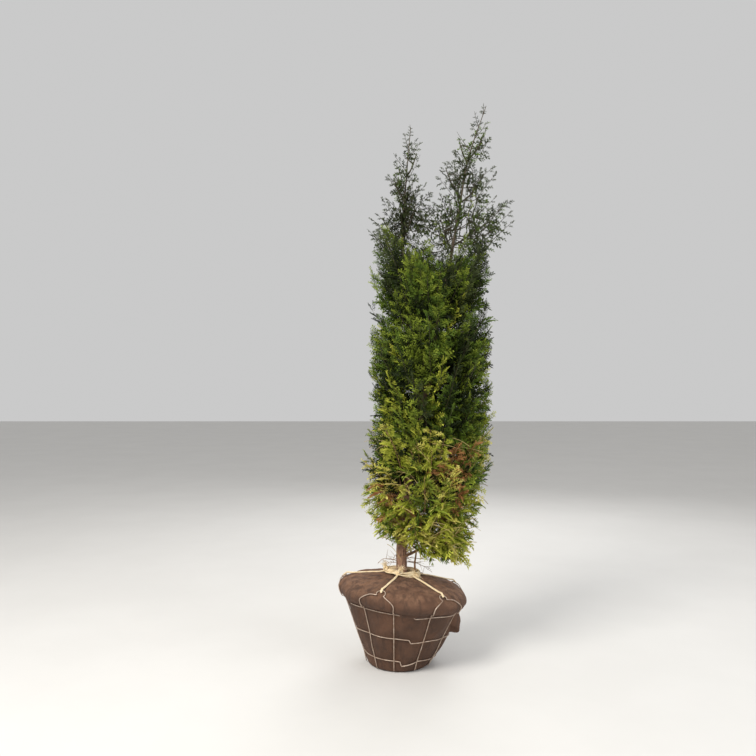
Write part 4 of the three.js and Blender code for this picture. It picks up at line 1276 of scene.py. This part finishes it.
# plies twisted round a path
def laidTwine(path):
    along = unit(np.gradient(path, axis=0))
    side = unit(np.cross(along, np.array([0.02, 0.01, 1.0])))
    other = np.cross(along, side)
    run = np.concatenate([[0], np.cumsum(np.linalg.norm(np.diff(path, axis=0), axis=1))])
    plies = []
    for k in range(twine["plies"]):
        turn = run / twine["pitch"] * fullTurn + k * fullTurn / twine["plies"]
        twisted = side * np.cos(turn)[:, None] + other * np.sin(turn)[:, None]
        plies.append(path + twisted * twine["twistRadius"])
    return tubes(np.array(plies), np.full((twine["plies"], len(path)), twine["ply"]), twine["sides"])


def collarPoint(turn, wider=0.0, higher=0.0):
    x = twine["centreX"] + (twine["collarX"] + wider) * np.cos(turn)
    y = twine["centreY"] + (twine["collarY"] + wider) * np.sin(turn)
    z = twine["collarHeight"] - ball["rightDrop"] * (x - twine["centreX"]) + higher
    return np.stack([x, y, z], axis=-1)


# loose fibres that stand off a knot
def frayedEnd(at, knot):
    rng, fibre = np.random.default_rng(knot["seed"]), twine["fibre"]
    share = np.linspace(0, 1, fibre["steps"])[:, None]
    paths = []
    for _ in range(knot["fibres"]):
        direction = unit(np.array(knot["towards"]) + rng.normal(0, knot["spread"], 3))
        length = knot["length"] * rng.uniform(0.5, 1.0)
        bend = np.array([0, 0, -fibre["sag"] * length]) * share**2
        bend = bend + rng.normal(0, fibre["crook"], 3) * np.sin(share * 6)
        paths.append(at + direction * length * share + bend)
    radii = np.tile(np.linspace(fibre["thick"], fibre["thin"], fibre["steps"]), (len(paths), 1))
    return tubes(np.array(paths), radii, fibre["sides"])


def buildTwine():
    turns, first = twine["turns"], twine["firstTurn"]
    turn = np.linspace(first, first + fullTurn * turns, twine["stepsPerTurn"] * turns)
    wander = np.linspace(0, turns, len(turn))
    wider = twine["hankWidth"] * np.sin(wander * 2.3 + 0.7 * np.sin(turn)) - twine["hankInset"]
    higher = twine["hankHeight"] * (0.6 * np.cos(wander * 3.1) + 0.3 * np.sin(turn * 2 + wander) + 0.3)
    parts = [laidTwine(collarPoint(turn, wider, higher))]
    stations = twine["collarStations"]
    ring = collarPoint(np.arange(stations) * fullTurn / stations)
    for top in basket["hookTops"]:
        points = [ballPoint(top, row, lift) for row, lift in twine["strand"]]
        points.append(ring[np.argmin(np.linalg.norm(ring - points[-1], axis=1))])
        turned = ballAngle(top)
        for sideways in (-twine["doubled"], twine["doubled"]):
            shift = np.array([-math.sin(turned), math.cos(turned), 0]) * sideways
            parts.append(laidTwine(smoothPath(points, twine["strandSteps"]) + shift))
    turn = np.linspace(0, fullTurn * twine["knotTurns"], twine["knotSteps"])
    coil = np.stack([np.cos(turn), np.sin(turn * 2) * 0.7, np.sin(turn) * np.cos(turn / 3)], axis=-1)
    for knot in twine["knots"]:
        at = collarPoint(np.array(math.radians(knot["at"])), twine["knotOut"], knot["up"])
        parts.append(laidTwine(at + coil * knot["size"]))
        parts.append(frayedEnd(at, knot))
    return joined(parts)


makePiece("twineLashings", *buildTwine(), twineMaterial(), "twine", ["twine"])
print("twine made")


# Dead twigs about the trunk's foot

shoot = {"foot": 0.404, "top": 0.560, "x": 0.073, "y": -0.006, "leanX": 0.009, "leanY": -0.012,
         "radius": 0.005, "tipRadius": 0.0034, "crook": 0.0015, "bends": 11, "steps": 40, "sides": 12}


def buildShoot():
    share = np.linspace(0, 1, shoot["steps"])
    path = np.stack([shoot["x"] + shoot["leanX"] * share, shoot["y"] + shoot["leanY"] * share,
                     mix(shoot["foot"], shoot["top"], share)], axis=-1)
    path[:, 0] += shoot["crook"] * np.sin(share * shoot["bends"])
    radii = mix(shoot["radius"], shoot["tipRadius"], share)
    return tubes(path[None], radii[None], shoot["sides"])


deadTwigs = {
    "seed": 3, "count": 80, "heights": (0.45, 0.92), "lengths": (0.08, 0.15), "longer": 0.35, "rise": (5, 50),
    "steps": 9, "crook": 0.006, "sag": 0.05, "radii": (0.0019, 0.0007), "sides": 4,
    "inCrownFrom": 0.5, "inset": 0.04,  # above this height they end inside the crown
    "branches": 5, "branchFrom": 2, "branchStray": 0.8, "branchLengths": (0.02, 0.065), "branchSag": 0.010,
    "branchRadii": (0.0010, 0.0004),
}


def buildDeadTwigs():
    shape, rng = deadTwigs, np.random.default_rng(deadTwigs["seed"])
    steps, lowest = shape["steps"], shape["heights"][0]
    share = np.linspace(0, 1, steps)[:, None]
    paths, radii = [], []
    for _ in range(shape["count"]):
        height = rng.uniform(*shape["heights"])
        length = rng.uniform(*shape["lengths"]) + shape["longer"] * (height - lowest)
        direction = heading(rng.uniform(0, 360), rng.uniform(*shape["rise"]))
        crook = np.cumsum(rng.normal(0, shape["crook"], (steps, 3)), axis=0) * share
        path = leaderPoint(trunk, height) + direction * length * share + crook
        path = path + np.array([0, 0, -shape["sag"]]) * share**2
        if path[-1, 2] > shape["inCrownFrom"] and not insideCrown(path[-1:], -shape["inset"])[0]:
            continue
        paths.append(path)
        radii.append(np.linspace(*shape["radii"], steps))
        for j in range(shape["branches"]):
            at = shape["branchFrom"] + j + rng.integers(0, 2)
            branch = unit(direction + rng.normal(0, shape["branchStray"], 3))
            branch = branch * rng.uniform(*shape["branchLengths"])
            paths.append(path[at] + branch * share + np.array([0, 0, -shape["branchSag"]]) * share**2)
            radii.append(np.linspace(*shape["branchRadii"], steps))
    return tubes(np.array(paths), np.array(radii), shape["sides"])


# long bare twigs that arch through the lower sprays
strawTwigs = {"seed": 12, "count": 130, "heights": (0.54, 1.10), "share": (0.55, 0.95), "turn": (30, 110),
              "rise": (-25, 40), "length": (0.08, 0.24), "before": 0.4, "sag": 0.34, "sags": (0.2, 1.6),
              "steps": 14, "radii": (0.0015, 0.0007), "sides": 5, "pastOutline": 0.02, "lowest": 0.47}


def buildStraw():
    shape, rng = strawTwigs, np.random.default_rng(strawTwigs["seed"])
    count, steps = shape["count"], shape["steps"]
    share = np.linspace(0, 1, steps)[None, :, None]
    height = rng.uniform(*shape["heights"], count)
    azimuth = rng.uniform(0, 360, count)
    start = outlinePoint(None, height, azimuth, rng.uniform(*shape["share"], count))
    turned = azimuth + rng.choice([-1, 1], count) * rng.uniform(*shape["turn"], count)
    direction = heading(turned, rng.uniform(*shape["rise"], count))
    length = rng.uniform(*shape["length"], count)[:, None, None]
    sag = np.array([0, 0, -shape["sag"]]) * length * share**2 * rng.uniform(*shape["sags"], (count, 1, 1))
    paths = start[:, None] + direction[:, None] * length * (share - shape["before"]) + sag
    inside = insideCrown(paths.reshape(-1, 3), shape["pastOutline"]).reshape(count, steps).all(axis=1)
    paths = paths[inside & (paths[:, :, 2].min(axis=1) > shape["lowest"])]
    return tubes(paths, np.tile(np.linspace(*shape["radii"], steps), (len(paths), 1)), shape["sides"])


makePiece("strawTwigs", *buildStraw(), finishes["strawTwigs"], "bark")
makePiece("basalShoot", *buildShoot(), finishes["deadTwigs"], "bark", ["basal_shoot"])
makePiece("deadTwigs", *buildDeadTwigs(), finishes["deadTwigs"], "bark")
print("dead twigs made")


# Floor and light

floorLook = {"size": 40, "below": 0.0005, "roughness": 0.9, "color": (0.66, 0.65, 0.63, 1),
             "otherColor": (0.62, 0.61, 0.59, 1), "patchScale": 1.5, "patchAmount": 0.5}


def floorMaterial():
    look = floorLook
    material, tree, shader, place = newMaterial("floor", look["roughness"])
    tone = placeMottle(tree, place, look["color"], look["otherColor"],
                       look["patchScale"], look["patchAmount"])
    tree.links.new(tone["Color"], shader["Base Color"])
    return material


bpy.ops.mesh.primitive_plane_add(size=floorLook["size"], location=(0, 0, -floorLook["below"]))
floor = bpy.context.object
floor.name = "floor"
floor.data.materials.append(floorMaterial())

sky = {"color": (0.95, 0.95, 0.95, 1), "strength": 0.62}
world = bpy.data.worlds.new("studio")
world.use_nodes = True
background = world.node_tree.nodes["Background"].inputs
background["Color"].default_value = sky["color"]
background["Strength"].default_value = sky["strength"]
bpy.context.scene.world = world

lampTarget = Vector((0.15, 0, 1.2))
lamps = [
    {"name": "key", "place": (-2.6, -3.2, 4.6), "size": 2.2, "power": 320, "color": (1.0, 0.97, 0.92)},
    {"name": "fill", "place": (3.6, -2.6, 2.2), "size": 3.0, "power": 64, "color": (0.96, 0.98, 1.0)},
    {"name": "back", "place": (1.2, 3.6, 3.6), "size": 2.6, "power": 90, "color": (1.0, 1.0, 1.0)},
]
for lamp in lamps:
    data = bpy.data.lights.new(lamp["name"], "AREA")
    data.energy = lamp["power"]
    data.size = lamp["size"]
    data.color = lamp["color"]
    light = bpy.data.objects.new(lamp["name"], data)
    light.location = lamp["place"]
    light.rotation_euler = (lampTarget - light.location).to_track_quat("-Z", "Y").to_euler()
    bpy.context.collection.objects.link(light)
bpy.context.scene.view_settings.view_transform = "Standard"
print("light made")
